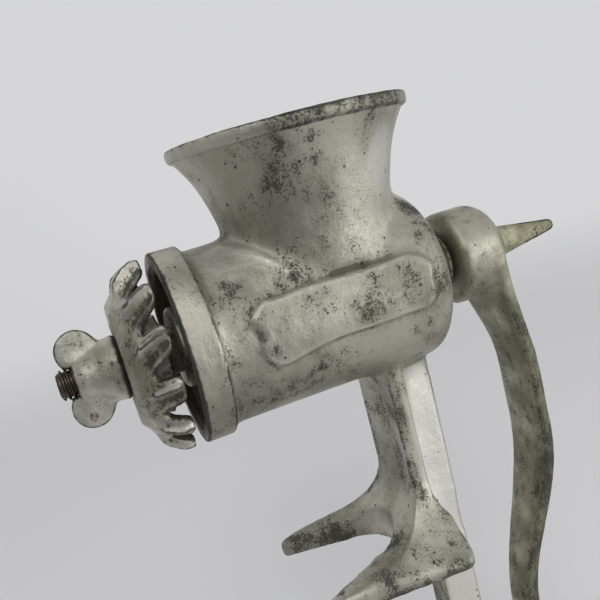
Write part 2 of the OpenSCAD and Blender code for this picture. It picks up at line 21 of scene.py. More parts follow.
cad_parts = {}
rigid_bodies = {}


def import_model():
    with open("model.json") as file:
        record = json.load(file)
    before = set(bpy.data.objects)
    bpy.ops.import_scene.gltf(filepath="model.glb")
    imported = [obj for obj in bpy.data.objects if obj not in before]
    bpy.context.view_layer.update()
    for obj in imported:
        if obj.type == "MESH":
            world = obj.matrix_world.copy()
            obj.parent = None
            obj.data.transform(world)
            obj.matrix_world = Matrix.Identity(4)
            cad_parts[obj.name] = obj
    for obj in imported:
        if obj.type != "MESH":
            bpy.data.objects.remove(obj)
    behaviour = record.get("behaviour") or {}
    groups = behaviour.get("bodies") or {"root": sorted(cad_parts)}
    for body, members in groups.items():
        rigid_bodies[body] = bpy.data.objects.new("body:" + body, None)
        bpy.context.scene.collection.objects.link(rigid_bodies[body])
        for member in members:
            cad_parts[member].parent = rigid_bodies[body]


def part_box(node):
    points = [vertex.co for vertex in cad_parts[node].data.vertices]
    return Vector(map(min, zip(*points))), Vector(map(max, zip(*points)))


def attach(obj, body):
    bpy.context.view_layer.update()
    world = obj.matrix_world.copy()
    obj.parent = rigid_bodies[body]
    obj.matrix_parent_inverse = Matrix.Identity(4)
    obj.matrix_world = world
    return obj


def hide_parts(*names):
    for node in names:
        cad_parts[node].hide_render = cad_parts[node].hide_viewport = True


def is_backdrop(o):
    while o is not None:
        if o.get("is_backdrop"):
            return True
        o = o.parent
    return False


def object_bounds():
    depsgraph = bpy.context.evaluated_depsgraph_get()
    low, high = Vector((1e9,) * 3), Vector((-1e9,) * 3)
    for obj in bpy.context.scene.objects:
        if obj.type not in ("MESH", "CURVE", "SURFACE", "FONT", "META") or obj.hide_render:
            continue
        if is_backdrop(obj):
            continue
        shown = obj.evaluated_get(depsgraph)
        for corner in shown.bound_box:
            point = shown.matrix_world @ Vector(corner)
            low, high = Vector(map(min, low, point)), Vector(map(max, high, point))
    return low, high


LOG = logging.getLogger("meat_grinder")
MM = 0.001
# Room between the lowest point and the floor
FLOOR_GAP = 0.5
# Radius of a turned shape where its end is closed on its axis
AXIS_R = 0.01


class Body(Enum):
    """The bodies that pieces ride on."""

    STAND = "stand"
    ROTOR = "rotor"
    CUTTER = "cutter"
    NUT = "nut"
    CRANK = "crank"
    THUMB_SCREW = "thumb_screw"
    GRIP = "grip"
    PAD = "pad"
    CLAMP_SCREW = "clamp_screw"


class Slot(Enum):
    """The record's material slots, which each made piece names."""

    TINNED = "tinned_iron"
    RUBBED = "worn_tinned_iron"
    STEEL = "blackened_steel"
    BEECH = "turned_beech"


class Way(Enum):
    """The direction in which a turned shape is laid."""

    ALONG_BARREL = "x"
    UPWARDS = "z"


# Colours and nodes


def linear(hex_colour: str) -> tuple[float, float, float, float]:
    """Turns an sRGB hex colour to linear light.

    Args:
        hex_colour: the colour, such as "#c4c2ba".

    Returns:
        Red, green, blue and alpha, each from 0 to 1.
    """
    parts = [int(hex_colour[i : i + 2], 16) / 255 for i in (1, 3, 5)]
    red, green, blue = (p / 12.92 if p <= 0.04045 else ((p + 0.055) / 1.055) ** 2.4 for p in parts)
    return red, green, blue, 1.0


def add_node(
    tree: bpy.types.NodeTree,
    kind: str,
    values: dict[Any, Any] | None = None,
    links: dict[Any, bpy.types.NodeSocket] | None = None,
    **settings: Any,
) -> bpy.types.Node:
    """Adds one node with its settings and links.

    Args:
        tree: the tree that gets the node.
        kind: the node's type.
        values: numbers or colours by input name or index.
        links: output sockets by the input name or index that they feed.
        **settings: the node's own attributes.

    Returns:
        The new node.
    """
    node = tree.nodes.new(kind)
    for key, value in settings.items():
        setattr(node, key, value)
    for key, value in (values or {}).items():
        node.inputs[key].default_value = value
    for key, socket in (links or {}).items():
        tree.links.new(socket, node.inputs[key])
    return node


def per_metre(size_mm: float) -> float:
    """Scale of a texture whose features are size_mm apart."""
    return 1 / (size_mm * MM)


def empty_material(name: str) -> tuple[bpy.types.Material, bpy.types.NodeTree]:
    """Makes a node material with an empty tree.

    Args:
        name: the material's name.

    Returns:
        The material and its tree.
    """
    material = bpy.data.materials.new(name)
    material.use_nodes = True
    material.node_tree.nodes.clear()
    return material, material.node_tree


# Finishes


@dataclass(frozen=True)
class Mask:
    """A pattern added up from others, and the range over which the sum brings it in.

    Attributes:
        base: name of the pattern that counts in full.
        extras: names of the patterns added to it, each with its share.
        low: sum at which the mask is 0. Where low and high are the same, the sum itself is kept.
        high: sum at which the mask is full.
        top: value of the full mask.
    """

    base: str
    extras: tuple[tuple[str, float], ...] = ()
    low: float = 0.0
    high: float = 0.0
    top: float = 1.0


@dataclass(frozen=True)
class TinnedIron:
    """Hot-dipped tin on cast iron.

    The skin is a satin silver grey with an olive cast. Patches of dull film lie on it. Fine dark
    specks gather in sprays where the tin is worn thin, and run together to smudges. Edges are
    worn to dark iron, and inner corners are darker. The attribute "tone" makes a place paler
    (below 0) or darker (above 0); it carries painted shade and painted highlight where light
    falls, as well as real stains.

    Attributes:
        name: the material's name.
        tin: colour of the tin.
        clean_and_highlight: colour of the palest tin, for painted highlight and for tin that is cleaner.
        film: colour of the dull film.
        smear: colour of the soft dark smears.
        fleck: colour of the fine dark specks.
        iron: colour of bare iron in pits and on edges.
        corner_colour: colour of the inner corners.
        rust: colour of the rust spots.
        used: colour of the walls that food has touched.
        cloud_mm: size of the largest patches.
        blotch_mm: size of the blotches in them.
        smudge_mm: size of the smudges that break up their edges.
        speck_mm: size of the specks. The real ones are finer, and are drawn as coarse as shows.
        pit_mm: distance between the places where a pit may lie.
        film_level: noise level about which tin gives way to film.
        smear_level: noise level above which a smear shows.
        speck_level: noise level above which a speck shows.
        edge_wear: how dark the edges are worn.
        roughness: roughness of clean tin.
        bump: strength of the surface relief.
        run: how much tighter stains are upwards than across, below 1 where they run.
    """

    name: str
    tin: str = "#bfbdaf"
    clean_and_highlight: str = "#e4e2da"
    film: str = "#939184"
    smear: str = "#605f56"
    fleck: str = "#45443b"
    iron: str = "#33322d"
    corner_colour: str = "#5a574a"
    rust: str = "#54402f"
    used: str = "#4a3d2f"
    cloud_mm: float = 30.0
    blotch_mm: float = 9.0
    smudge_mm: float = 3.2
    speck_mm: float = 0.7
    pit_mm: float = 2.6
    film_level: float = 0.87
    smear_level: float = 1.09
    speck_level: float = 1.63
    edge_wear: float = 0.8
    roughness: float = 0.38
    bump: float = 0.7
    run: float = 0.62

    def textures(self, tree: bpy.types.NodeTree) -> dict[str, bpy.types.NodeSocket]:
        """Adds the skin's own marks, the noise and the cells of the pits.

        Args:
            tree: the material's tree.

        Returns:
            Their outputs by name.
        """
        place = add_node(tree, "ShaderNodeTexCoord").outputs["Object"]
        # Stains run a little way up and down, as the tin did when it was dipped
        run = add_node(
            tree, "ShaderNodeMapping", {"Scale": (1, 1, self.run)}, {"Vector": place}
        ).outputs[0]
        found = {
            name: add_node(tree, "ShaderNodeAttribute", attribute_name=name).outputs["Fac"]
            for name in ("edge", "hollow", "inside", "tone", "rusty")
        }
        noises = (
            ("cloud", self.cloud_mm, 3, 0.5, place), ("blotch", self.blotch_mm, 7, 0.62, run),
            ("smudge", self.smudge_mm, 8, 0.68, run), ("speck", self.speck_mm, 4, 0.72, place),
        )
        for name, size, detail, rough, where in noises:
            values = {"Scale": per_metre(size), "Detail": detail, "Roughness": rough}
            found[name] = add_node(tree, "ShaderNodeTexNoise", values, {"Vector": where}).outputs["Fac"]
        cells = add_node(tree, "ShaderNodeTexVoronoi", {"Scale": per_metre(self.pit_mm)}, {"Vector": place})
        found["cell"] = cells.outputs["Distance"]
        found["chance"] = add_node(
            tree, "ShaderNodeSeparateColor", None, {0: cells.outputs["Color"]}
        ).outputs[0]
        return found

    def masks(self) -> dict[str, Mask]:
        """Says how each mask is added up, each one after those that it needs.

        Returns:
            The masks by name.
        """
        film, smear, fleck = self.film_level, self.smear_level, self.speck_level
        return {
            # Film lies in clouds whose edges the finer noise breaks up
            "finer": Mask("smudge", (("speck", 0.8), ("blotch", 1.0))),
            "film": Mask("cloud", (("finer", 0.27), ("tone", 0.16)), film - 0.12, film + 0.18, 0.9),
            # Paler tin where the tone is low: painted highlight, and tin that is cleaner
            "clean_and_highlight": Mask("tone", (), -0.3, -1.2, 0.9),
            # Smears and sprays of specks lie where the tin is thin
            "smears": Mask(
                "blotch", (("smudge", 0.5), ("cloud", 0.4), ("tone", 0.07)), smear, smear + 0.13, 0.6
            ),
            "specks": Mask(
                "blotch", (("smudge", 0.6), ("cloud", 0.3), ("tone", 0.14), ("speck", 1.1)),
                fleck, fleck + 0.09, 0.8,
            ),
            # Pits are round and lie singly: each cell has one or none
            "gate": Mask("chance", (("smudge", 0.8),), 1.18, 1.38),
            "pits": Mask("cell", (("gate", -0.24), ("speck", 0.1)), 0.03, -0.05, 0.9),
            # Marks of the skin itself, with their edges broken up by the noise
            "rubbed": Mask(
                "edge", (("smudge", 1.1), ("speck", 0.5), ("tone", 0.2)), 1.12, 1.62, self.edge_wear
            ),
            # Inner corners are darker
            "corner_darkening": Mask("hollow", (("blotch", 0.6), ("tone", 0.15)), 0.42, 1.15, 0.9),
            "rust": Mask("rusty", (("smudge", 1.6), ("speck", 1.2)), 1.85, 2.25, 0.85),
            "stain": Mask("inside", (("smudge", 0.4),), 0.35, 0.85, 0.85),
            # Dark places, stains, rust and inner corners are duller, less metallic and a little lower
            "dark": Mask("specks", (("smears", 0.6), ("pits", 0.8), ("rubbed", 0.6))),
            "dull": Mask("film", (("dark", 0.7), ("corner_darkening", 0.7), ("stain", 0.6), ("rust", 1.0))),
            "relief": Mask("smudge", (("speck", 0.5), ("blotch", 0.8), ("dark", -0.4))),
        }

    def material(self) -> bpy.types.Material:
        """Builds the material.

        Returns:
            The node material.
        """
        material, tree = empty_material(self.name)
        level = self.textures(tree)
        for name, mask in self.masks().items():
            total = level[mask.base]
            for extra, share in mask.extras:
                links = {0: level[extra], 2: total}
                total = add_node(
                    tree, "ShaderNodeMath", {1: share}, links, operation="MULTIPLY_ADD"
                ).outputs[0]
            if mask.low != mask.high:
                values = {"From Min": mask.low, "From Max": mask.high, "To Max": mask.top}
                total = add_node(
                    tree, "ShaderNodeMapRange", values, {"Value": total}, interpolation_type="SMOOTHSTEP"
                ).outputs[0]
            level[name] = total
        # Layers of colour, from the tin up
        colour = add_node(
            tree, "ShaderNodeMix", {6: linear(self.tin), 7: linear(self.film)}, {0: level["film"]},
            data_type="RGBA",
        ).outputs[2]
        layers = (
            (self.clean_and_highlight, "clean_and_highlight"), (self.corner_colour, "corner_darkening"), (self.smear, "smears"), (self.used, "stain"),
            (self.fleck, "specks"), (self.iron, "rubbed"), (self.iron, "pits"), (self.rust, "rust"),
        )
        for paint, name in layers:
            colour = add_node(
                tree, "ShaderNodeMix", {7: linear(paint)}, {0: level[name], 6: colour}, data_type="RGBA"
            ).outputs[2]
        rough = add_node(
            tree, "ShaderNodeMapRange",
            {"From Min": 0.0, "From Max": 1.8, "To Min": self.roughness, "To Max": self.roughness + 0.26},
            {"Value": level["dull"]},
        ).outputs[0]
        metal = add_node(
            tree, "ShaderNodeMapRange", {"To Min": 0.92, "To Max": 0.6}, {"Value": level["dark"]}
        ).outputs[0]
        bump = add_node(
            tree, "ShaderNodeBump", {"Strength": self.bump, "Distance": 0.4 * MM},
            {"Height": level["relief"]},
        ).outputs[0]
        shader = add_node(
            tree, "ShaderNodeBsdfPrincipled", None,
            {"Base Color": colour, "Roughness": rough, "Metallic": metal, "Normal": bump},
        )
        add_node(tree, "ShaderNodeOutputMaterial", None, {"Surface": shader.outputs[0]})
        return material


@dataclass(frozen=True)
class PlainFinish:
    """A finish with one mottled or streaked pattern.

    Attributes:
        name: the material's name.
        light: colour of the lighter part.
        dark: colour of the darker part.
        pattern_mm: size of the pattern along X, Y and Z.
        metallic: how metallic it is.
        roughness: its middle roughness.
        bump: strength of the relief.
        worn: colour that shows on rubbed edges.
    """

    name: str
    light: str
    dark: str
    pattern_mm: tuple[float, float, float]
    metallic: float
    roughness: float
    bump: float
    worn: str

    def material(self) -> bpy.types.Material:
        """Builds the material.

        Returns:
            The node material.
        """
        material, tree = empty_material(self.name)
        place = add_node(tree, "ShaderNodeTexCoord").outputs["Object"]
        scale = Vector(per_metre(size) for size in self.pattern_mm)
        spread = add_node(tree, "ShaderNodeMapping", {"Scale": scale}, {"Vector": place}).outputs[0]
        pattern = add_node(
            tree, "ShaderNodeTexNoise", {"Scale": 1.0, "Detail": 6.0, "Roughness": 0.6}, {"Vector": spread}
        ).outputs["Fac"]
        amount = add_node(
            tree, "ShaderNodeMapRange", {"From Min": 0.35, "From Max": 0.66}, {"Value": pattern}
        ).outputs[0]
        edge = add_node(tree, "ShaderNodeAttribute", attribute_name="edge").outputs["Fac"]
        colour = add_node(
            tree, "ShaderNodeMix", {6: linear(self.light), 7: linear(self.dark)}, {0: amount},
            data_type="RGBA",
        ).outputs[2]
        colour = add_node(
            tree, "ShaderNodeMix", {7: linear(self.worn)}, {0: edge, 6: colour}, data_type="RGBA"
        ).outputs[2]
        rough = add_node(
            tree, "ShaderNodeMapRange",
            {"To Min": self.roughness - 0.08, "To Max": self.roughness + 0.12}, {"Value": amount},
        ).outputs[0]
        bump = add_node(
            tree, "ShaderNodeBump", {"Strength": self.bump, "Distance": 0.3 * MM}, {"Height": pattern}
        ).outputs[0]
        shader = add_node(
            tree, "ShaderNodeBsdfPrincipled", {"Metallic": self.metallic},
            {"Base Color": colour, "Roughness": rough, "Normal": bump},
        )
        add_node(tree, "ShaderNodeOutputMaterial", None, {"Surface": shader.outputs[0]})
        return material


@dataclass
class Finishes:
    """The finishes of the grinder: one for each material slot, and two more tones of tin.

    Attributes:
        tinned: tinned cast iron of the body.
        rubbed: the same of small pieces that are handled and washed.
        handled: the same of the crank.
        dulled: the same of the thumb screw.
        steel: oiled bare steel.
        fibre: pressed fibre of the thrust washer.
        beech: turned wood of the grip.
    """

    tinned: bpy.types.Material = field(init=False)
    rubbed: bpy.types.Material = field(init=False)
    handled: bpy.types.Material = field(init=False)
    dulled: bpy.types.Material = field(init=False)
    steel: bpy.types.Material = field(init=False)
    fibre: bpy.types.Material = field(init=False)
    beech: bpy.types.Material = field(init=False)

    def __post_init__(self) -> None:
        """Builds the materials."""
        self.tinned = TinnedIron("tinned_cast_iron").material()
        # Small pieces that are handled and washed: finer patches and specks
        self.rubbed = TinnedIron(
            "rubbed_tinned_cast_iron", tin="#c1bfb1", film="#8f8d7b", cloud_mm=14.0, blotch_mm=4.5,
            smudge_mm=1.8, speck_mm=0.55, pit_mm=1.6, film_level=0.90, roughness=0.34,
        ).material()
        # The crank has lost more of its tin to the hand, and is a darker olive grey
        self.handled = TinnedIron(
            "handled_tinned_cast_iron", tin="#b3b19e", film="#7b7966", cloud_mm=20.0, blotch_mm=6.0,
            smudge_mm=2.6, film_level=0.80, roughness=0.38,
        ).material()
        # The thumb screw's head has gone a dull greenish yellow
        self.dulled = TinnedIron(
            "dulled_tinned_cast_iron", tin="#b9b79f", film="#929075", clean_and_highlight="#cbc9b4", cloud_mm=12.0,
            blotch_mm=4.0, smudge_mm=1.6, speck_mm=0.6, pit_mm=2.2, roughness=0.45,
        ).material()
        # Bare carbon steel gone brown-black with oil, brighter on the crests of its threads
        self.steel = PlainFinish(
            "oil_blackened_steel", light="#2f2a25", dark="#191613", worn="#554d43",
            pattern_mm=(1.4, 1.4, 1.4), metallic=0.85, roughness=0.42, bump=0.3,
        ).material()
        # Pressed paper fibre, dull brownish red with a fine mottle
        self.fibre = PlainFinish(
            "vulcanised_fibre", light="#7a4a33", dark="#5d3626", worn="#8a5a40",
            pattern_mm=(0.9, 0.9, 0.9), metallic=0.0, roughness=0.6, bump=0.2,
        ).material()
        # Beech turned across a lathe and oiled: short darker flecks run along the grip
        self.beech = PlainFinish(
            "oiled_turned_beech", light="#b98a5c", dark="#8c5f38", worn="#a87848",
            pattern_mm=(16.0, 1.1, 1.1), metallic=0.0, roughness=0.5, bump=0.25,
        ).material()


# Shapes in arrays


@dataclass
class Shell:
    """A closed shape in arrays.

    Attributes:
        points: places of its points, in millimetres.
        faces: point numbers of each face.
    """

    points: np.ndarray
    faces: list[tuple[int, ...]]

    def moved(self, x: float = 0, y: float = 0, z: float = 0) -> Shell:
        """The shape moved by x, y and z."""
        return Shell(self.points + np.array([x, y, z]), self.faces)

    def lowered(self) -> Shell:
        """The shape, wound up Z, turned to lie along X."""
        return Shell(self.points[:, [2, 1, 0]] * np.array([1, 1, -1]), self.faces)

    def laid(self, way: Way) -> Shell:
        """The shape, drawn along X, turned to lie the given way.

        Args:
            way: the direction.

        Returns:
            The turned shape.
        """
        if way is Way.ALONG_BARREL:
            return self
        x, y, z = self.points.T
        return Shell(np.stack([-z, y, x], axis=1), self.faces)

    def mesh(self, name: str) -> bpy.types.Mesh:
        """Makes a Blender mesh with its faces turned outwards.

        Args:
            name: the mesh's name.

        Returns:
            The mesh, in metres.
        """
        mesh = bpy.data.meshes.new(name)
        mesh.from_pydata((self.points * MM).tolist(), [], self.faces)
        work = bmesh.new()
        work.from_mesh(mesh)
        bmesh.ops.remove_doubles(work, verts=work.verts, dist=0.001 * MM)
        bmesh.ops.recalc_face_normals(work, faces=work.faces)
        work.to_mesh(mesh)
        work.free()
        return mesh


def joined(shells: Sequence[Shell]) -> Shell:
    """Puts several shapes into one.

    Args:
        shells: the shapes.

    Returns:
        One shape with all their points and faces.
    """
    points, faces, start = [], [], 0
    for shell in shells:
        points.append(shell.points)
        faces += [tuple(start + i for i in face) for face in shell.faces]
        start += len(shell.points)
    return Shell(np.concatenate(points), faces)


def grid_faces(rows: int, columns: int, close_rows: bool, close_columns: bool) -> list[tuple[int, ...]]:
    """Quads of a grid of points.

    Args:
        rows: number of rows.
        columns: number of points in a row.
        close_rows: whether the last row joins the first.
        close_columns: whether a row's last point joins its first.

    Returns:
        The faces.
    """
    faces = []
    for i in range(rows if close_rows else rows - 1):
        for j in range(columns if close_columns else columns - 1):
            a, b = i * columns + j, i * columns + (j + 1) % columns
            c, d = (i + 1) % rows * columns + j, (i + 1) % rows * columns + (j + 1) % columns
            faces.append((a, b, d, c))
    return faces


def turned(profile: Sequence[tuple[float, Any]], around: int = 96, ring: bool = False) -> Shell:
    """Turns a profile about the X axis.

    Args:
        profile: places along X with their radius, a number or a function of the angle.
        around: number of points round the axis.
        ring: whether the profile is a closed loop. Otherwise its ends lie on the axis.

    Returns:
        The closed shape.
    """
    angle = np.linspace(0, 2 * math.pi, around, endpoint=False)
    rows = []
    for along, radius in profile:
        r = radius(angle) if callable(radius) else np.full(around, float(radius))
        rows.append(np.stack([np.full(around, along), r * np.cos(angle), r * np.sin(angle)], axis=1))
    faces = grid_faces(len(rows), around, ring, True)
    return Shell(np.concatenate(rows), faces)


def square(half: float, corner: float = 0.6) -> Callable[[np.ndarray], np.ndarray]:
    """Radius of a square by the angle.

    Args:
        half: half its side.
        corner: how much its corners are broken.

    Returns:
        A function of the angle.
    """
    return lambda angle: np.minimum(
        half / np.maximum(np.abs(np.cos(angle)), np.abs(np.sin(angle))), half * math.sqrt(2) - corner
    )


def ease(t: Any) -> Any:
    """Smooth step from 0 to 1 as t goes from 0 to 1."""
    u = np.clip(t, 0, 1)
    return u * u * (3 - 2 * u)


def bell(offset: Any, width: float) -> Any:
    """Bell curve that is 1 where the offset is 0 and falls off within the width."""
    return np.exp(-((offset / width) ** 2))


def path_distance(path: np.ndarray, points: np.ndarray) -> np.ndarray:
    """Distance of points from a path of straight pieces.

    Args:
        path: the path's corners.
        points: the points.

    Returns:
        One distance for each point.
    """
    nearest = np.full(len(points), np.inf)
    for start, end in zip(path[:-1], path[1:]):
        span = end - start
        share = np.clip((points - start) @ span / (span @ span), 0, 1)
        nearest = np.minimum(nearest, np.linalg.norm(points - start - share[:, None] * span, axis=1))
    return nearest


def depth_inside(outline: np.ndarray, points: np.ndarray) -> np.ndarray:
    """Distance of flat points from an outline, positive inside it and negative outside.

    Args:
        outline: the outline's corners.
        points: the points, in the outline's plane.

    Returns:
        One signed distance for each point.
    """
    loop = np.concatenate([outline, outline[:1]])
    within = np.zeros(len(points), bool)
    for (x0, z0), (x1, z1) in zip(loop[:-1], loop[1:]):
        if z0 == z1:
            continue
        crosses = (z0 > points[:, 1]) != (z1 > points[:, 1])
        within ^= crosses & (points[:, 0] < (x1 - x0) * (points[:, 1] - z0) / (z1 - z0) + x0)
    return np.where(within, 1, -1) * path_distance(loop, points)


# Geometry Nodes


@dataclass
class NodeShape:
    """A shape that a Geometry Nodes tree makes, with named inputs for its sizes.

    Attributes:
        name: the tree's name.
        tree: the tree.
        entry: the node that holds its inputs.
    """

    name: str
    tree: bpy.types.NodeTree = field(init=False)
    entry: bpy.types.Node = field(init=False)

    def __post_init__(self) -> None:
        """Starts an empty tree."""
        self.tree = bpy.data.node_groups.new(self.name, "GeometryNodeTree")

    def declare(self, sockets: dict[str, str]) -> None:
        """Adds the tree's named inputs and its one output.

        Args:
            sockets: socket types by input name.
        """
        for name, kind in sockets.items():
            self.tree.interface.new_socket(name, in_out="INPUT", socket_type=kind)
        self.tree.interface.new_socket("Shape", in_out="OUTPUT", socket_type="NodeSocketGeometry")
        self.entry = add_node(self.tree, "NodeGroupInput")

    def end_with(self, geometry: bpy.types.NodeSocket) -> None:
        """Ends the tree in Realize Instances and Set Material.

        Args:
            geometry: the geometry to put out.
        """
        real = add_node(self.tree, "GeometryNodeRealizeInstances", None, {0: geometry})
        dressed = add_node(
            self.tree, "GeometryNodeSetMaterial", None,
            {"Geometry": real.outputs[0], "Material": self.entry.outputs["Material"]},
        )
        add_node(self.tree, "NodeGroupOutput", None, {0: dressed.outputs[0]})

    def made(self, sizes: dict[str, Any]) -> Shell:
        """Runs the tree with the given sizes.

        Args:
            sizes: values by input name.

        Returns:
            The result as a shape in millimetres.
        """
        host = bpy.data.objects.new(self.name, bpy.data.meshes.new(self.name))
        bpy.context.scene.collection.objects.link(host)
        modifier = host.modifiers.new(self.name, "NODES")
        modifier.node_group = self.tree
        for item in self.tree.interface.items_tree:
            if item.in_out == "INPUT":
                modifier[item.identifier] = sizes[item.name]
        evaluated = host.evaluated_get(bpy.context.evaluated_depsgraph_get())
        mesh = bpy.data.meshes.new_from_object(evaluated)
        points = np.empty(len(mesh.vertices) * 3)
        mesh.vertices.foreach_get("co", points)
        faces = [tuple(face.vertices) for face in mesh.polygons]
        bpy.data.objects.remove(host)
        bpy.data.meshes.remove(mesh)
        return Shell(points.reshape(-1, 3), faces)


def helical_rib_tree() -> NodeShape:
    """Tree of a rib of trapezium section that winds right-handed up the Z axis.

    Returns:
        The tree, whose inputs are sizes in millimetres.
    """
    shape = NodeShape("helical_rib")
    number = "NodeSocketFloat"
    shape.declare({
        "Pitch": number, "Turns": number, "Radius": number, "Root width": number, "Edge width": number,
        "Height": number, "Steps per turn": "NodeSocketInt", "Material": "NodeSocketMaterial",
    })
    tree, entry = shape.tree, shape.entry.outputs
    rise = add_node(
        tree, "ShaderNodeMath", None, {0: entry["Pitch"], 1: entry["Turns"]}, operation="MULTIPLY"
    )
    path = add_node(
        tree, "GeometryNodeCurveSpiral", {"Reverse": True},
        {
            "Resolution": entry["Steps per turn"], "Rotations": entry["Turns"],
            "Start Radius": entry["Radius"], "End Radius": entry["Radius"], "Height": rise.outputs[0],
        },
    )
    level = add_node(tree, "GeometryNodeSetCurveNormal", None, {0: path.outputs[0]}, mode="Z_UP")
    section = add_node(
        tree, "GeometryNodeCurvePrimitiveQuadrilateral", {"Offset": 0.0},
        {"Height": entry["Height"], "Bottom Width": entry["Root width"], "Top Width": entry["Edge width"]},
        mode="TRAPEZOID",
    )
    upright = add_node(
        tree, "GeometryNodeTransform", {"Rotation": (0, 0, -math.pi / 2)}, {"Geometry": section.outputs[0]}
    )
    rib = add_node(
        tree, "GeometryNodeCurveToMesh", {"Fill Caps": True},
        {"Curve": level.outputs[0], "Profile Curve": upright.outputs[0]},
    )
    shape.end_with(rib.outputs[0])
    return shape


def ring_tree() -> NodeShape:
    """Tree that repeats an object about the X axis.

    Returns:
        The tree.
    """
    shape = NodeShape("ring_of_teeth")
    shape.declare({
        "Tooth": "NodeSocketObject", "Count": "NodeSocketInt", "Step angle": "NodeSocketFloat",
        "Material": "NodeSocketMaterial",
    })
    tree, entry = shape.tree, shape.entry.outputs
    points = add_node(tree, "GeometryNodePoints", None, {"Count": entry["Count"]})
    index = add_node(tree, "GeometryNodeInputIndex")
    angle = add_node(
        tree, "ShaderNodeMath", None, {0: index.outputs[0], 1: entry["Step angle"]}, operation="MULTIPLY"
    )
    about_x = add_node(tree, "ShaderNodeCombineXYZ", None, {"X": angle.outputs[0]})
    turn = add_node(tree, "FunctionNodeEulerToRotation", None, {0: about_x.outputs[0]})
    tooth = add_node(tree, "GeometryNodeObjectInfo", None, {"Object": entry["Tooth"]})
    ring = add_node(
        tree, "GeometryNodeInstanceOnPoints", None,
        {"Points": points.outputs[0], "Instance": tooth.outputs["Geometry"], "Rotation": turn.outputs[0]},
    )
    shape.end_with(ring.outputs[0])
    return shape


# Cast skins


@dataclass(frozen=True)
class Zone:
    """A soft patch of a skin that differs from the rest.

    Attributes:
        middle: its middle.
        reach: its half lengths along X, Y and Z.
        value: how much it differs, negative for paler and positive for darker.
        paired: whether the same patch lies on the far side too.
    """

    middle: tuple[float, float, float]
    reach: tuple[float, float, float]
    value: float
    paired: bool = True

    def at(self, points: np.ndarray) -> np.ndarray:
        """The zone's value at each point, falling off softly at its edge.

        Args:
            points: the points.

        Returns:
            One value for each point.
        """
        place = points * np.array([1, -1, 1]) if self.paired else points
        nearer = np.where((points[:, 1] > 0) & self.paired, place.T, points.T).T
        away = (((nearer - np.array(self.middle)) / np.array(self.reach)) ** 2).sum(axis=1)
        return self.value * np.exp(-(away**2))


def zone_values(zones: Sequence[Zone], points: np.ndarray) -> np.ndarray:
    """Sum of the zones' values at each point."""
    return sum((zone.at(points) for zone in zones), np.zeros(len(points)))


@dataclass(frozen=True)
class Bore:
    """A machined round hole that keeps its exact radius.

    Attributes:
        way: the direction of its axis.
        centre: where the axis crosses the plane square to it: Y and Z, or X and Y.
        radius: its radius.
        start: where it starts along its axis.
        end: where it ends.
        reach: how far from the wall points are drawn to it.
        play: how far the drawn wall stands back from the radius.
    """

    way: Way
    centre: tuple[float, float]
    radius: float
    start: float
    end: float
    reach: float = 0.8
    play: float = 0.12

    def columns(self) -> tuple[int, int, int]:
        """Numbers of the along, first and second columns of a point."""
        return (0, 1, 2) if self.way is Way.ALONG_BARREL else (2, 0, 1)

    def wall(self, points: np.ndarray) -> tuple[np.ndarray, np.ndarray, np.ndarray]:
        """Finds the points on the bore's wall.

        Args:
            points: the points of a skin.

        Returns:
            A mask of those points, and the offset and distance of every point from the axis.
        """
        along, first, second = self.columns()
        offset = points[:, [first, second]] - np.array(self.centre)
        distance = np.linalg.norm(offset, axis=1)
        inside = (points[:, along] > self.start) & (points[:, along] < self.end)
        return inside & (np.abs(distance - self.radius) < self.reach), offset, distance

    def true(self, points: np.ndarray) -> None:
        """Puts the wall's points onto the radius, in place.

        Args:
            points: the points of a skin.
        """
        _, first, second = self.columns()
        mask, offset, distance = self.wall(points)
        scale = (self.radius + self.play) / distance[mask]
        points[np.ix_(mask, [first, second])] = np.array(self.centre) + offset[mask] * scale[:, None]


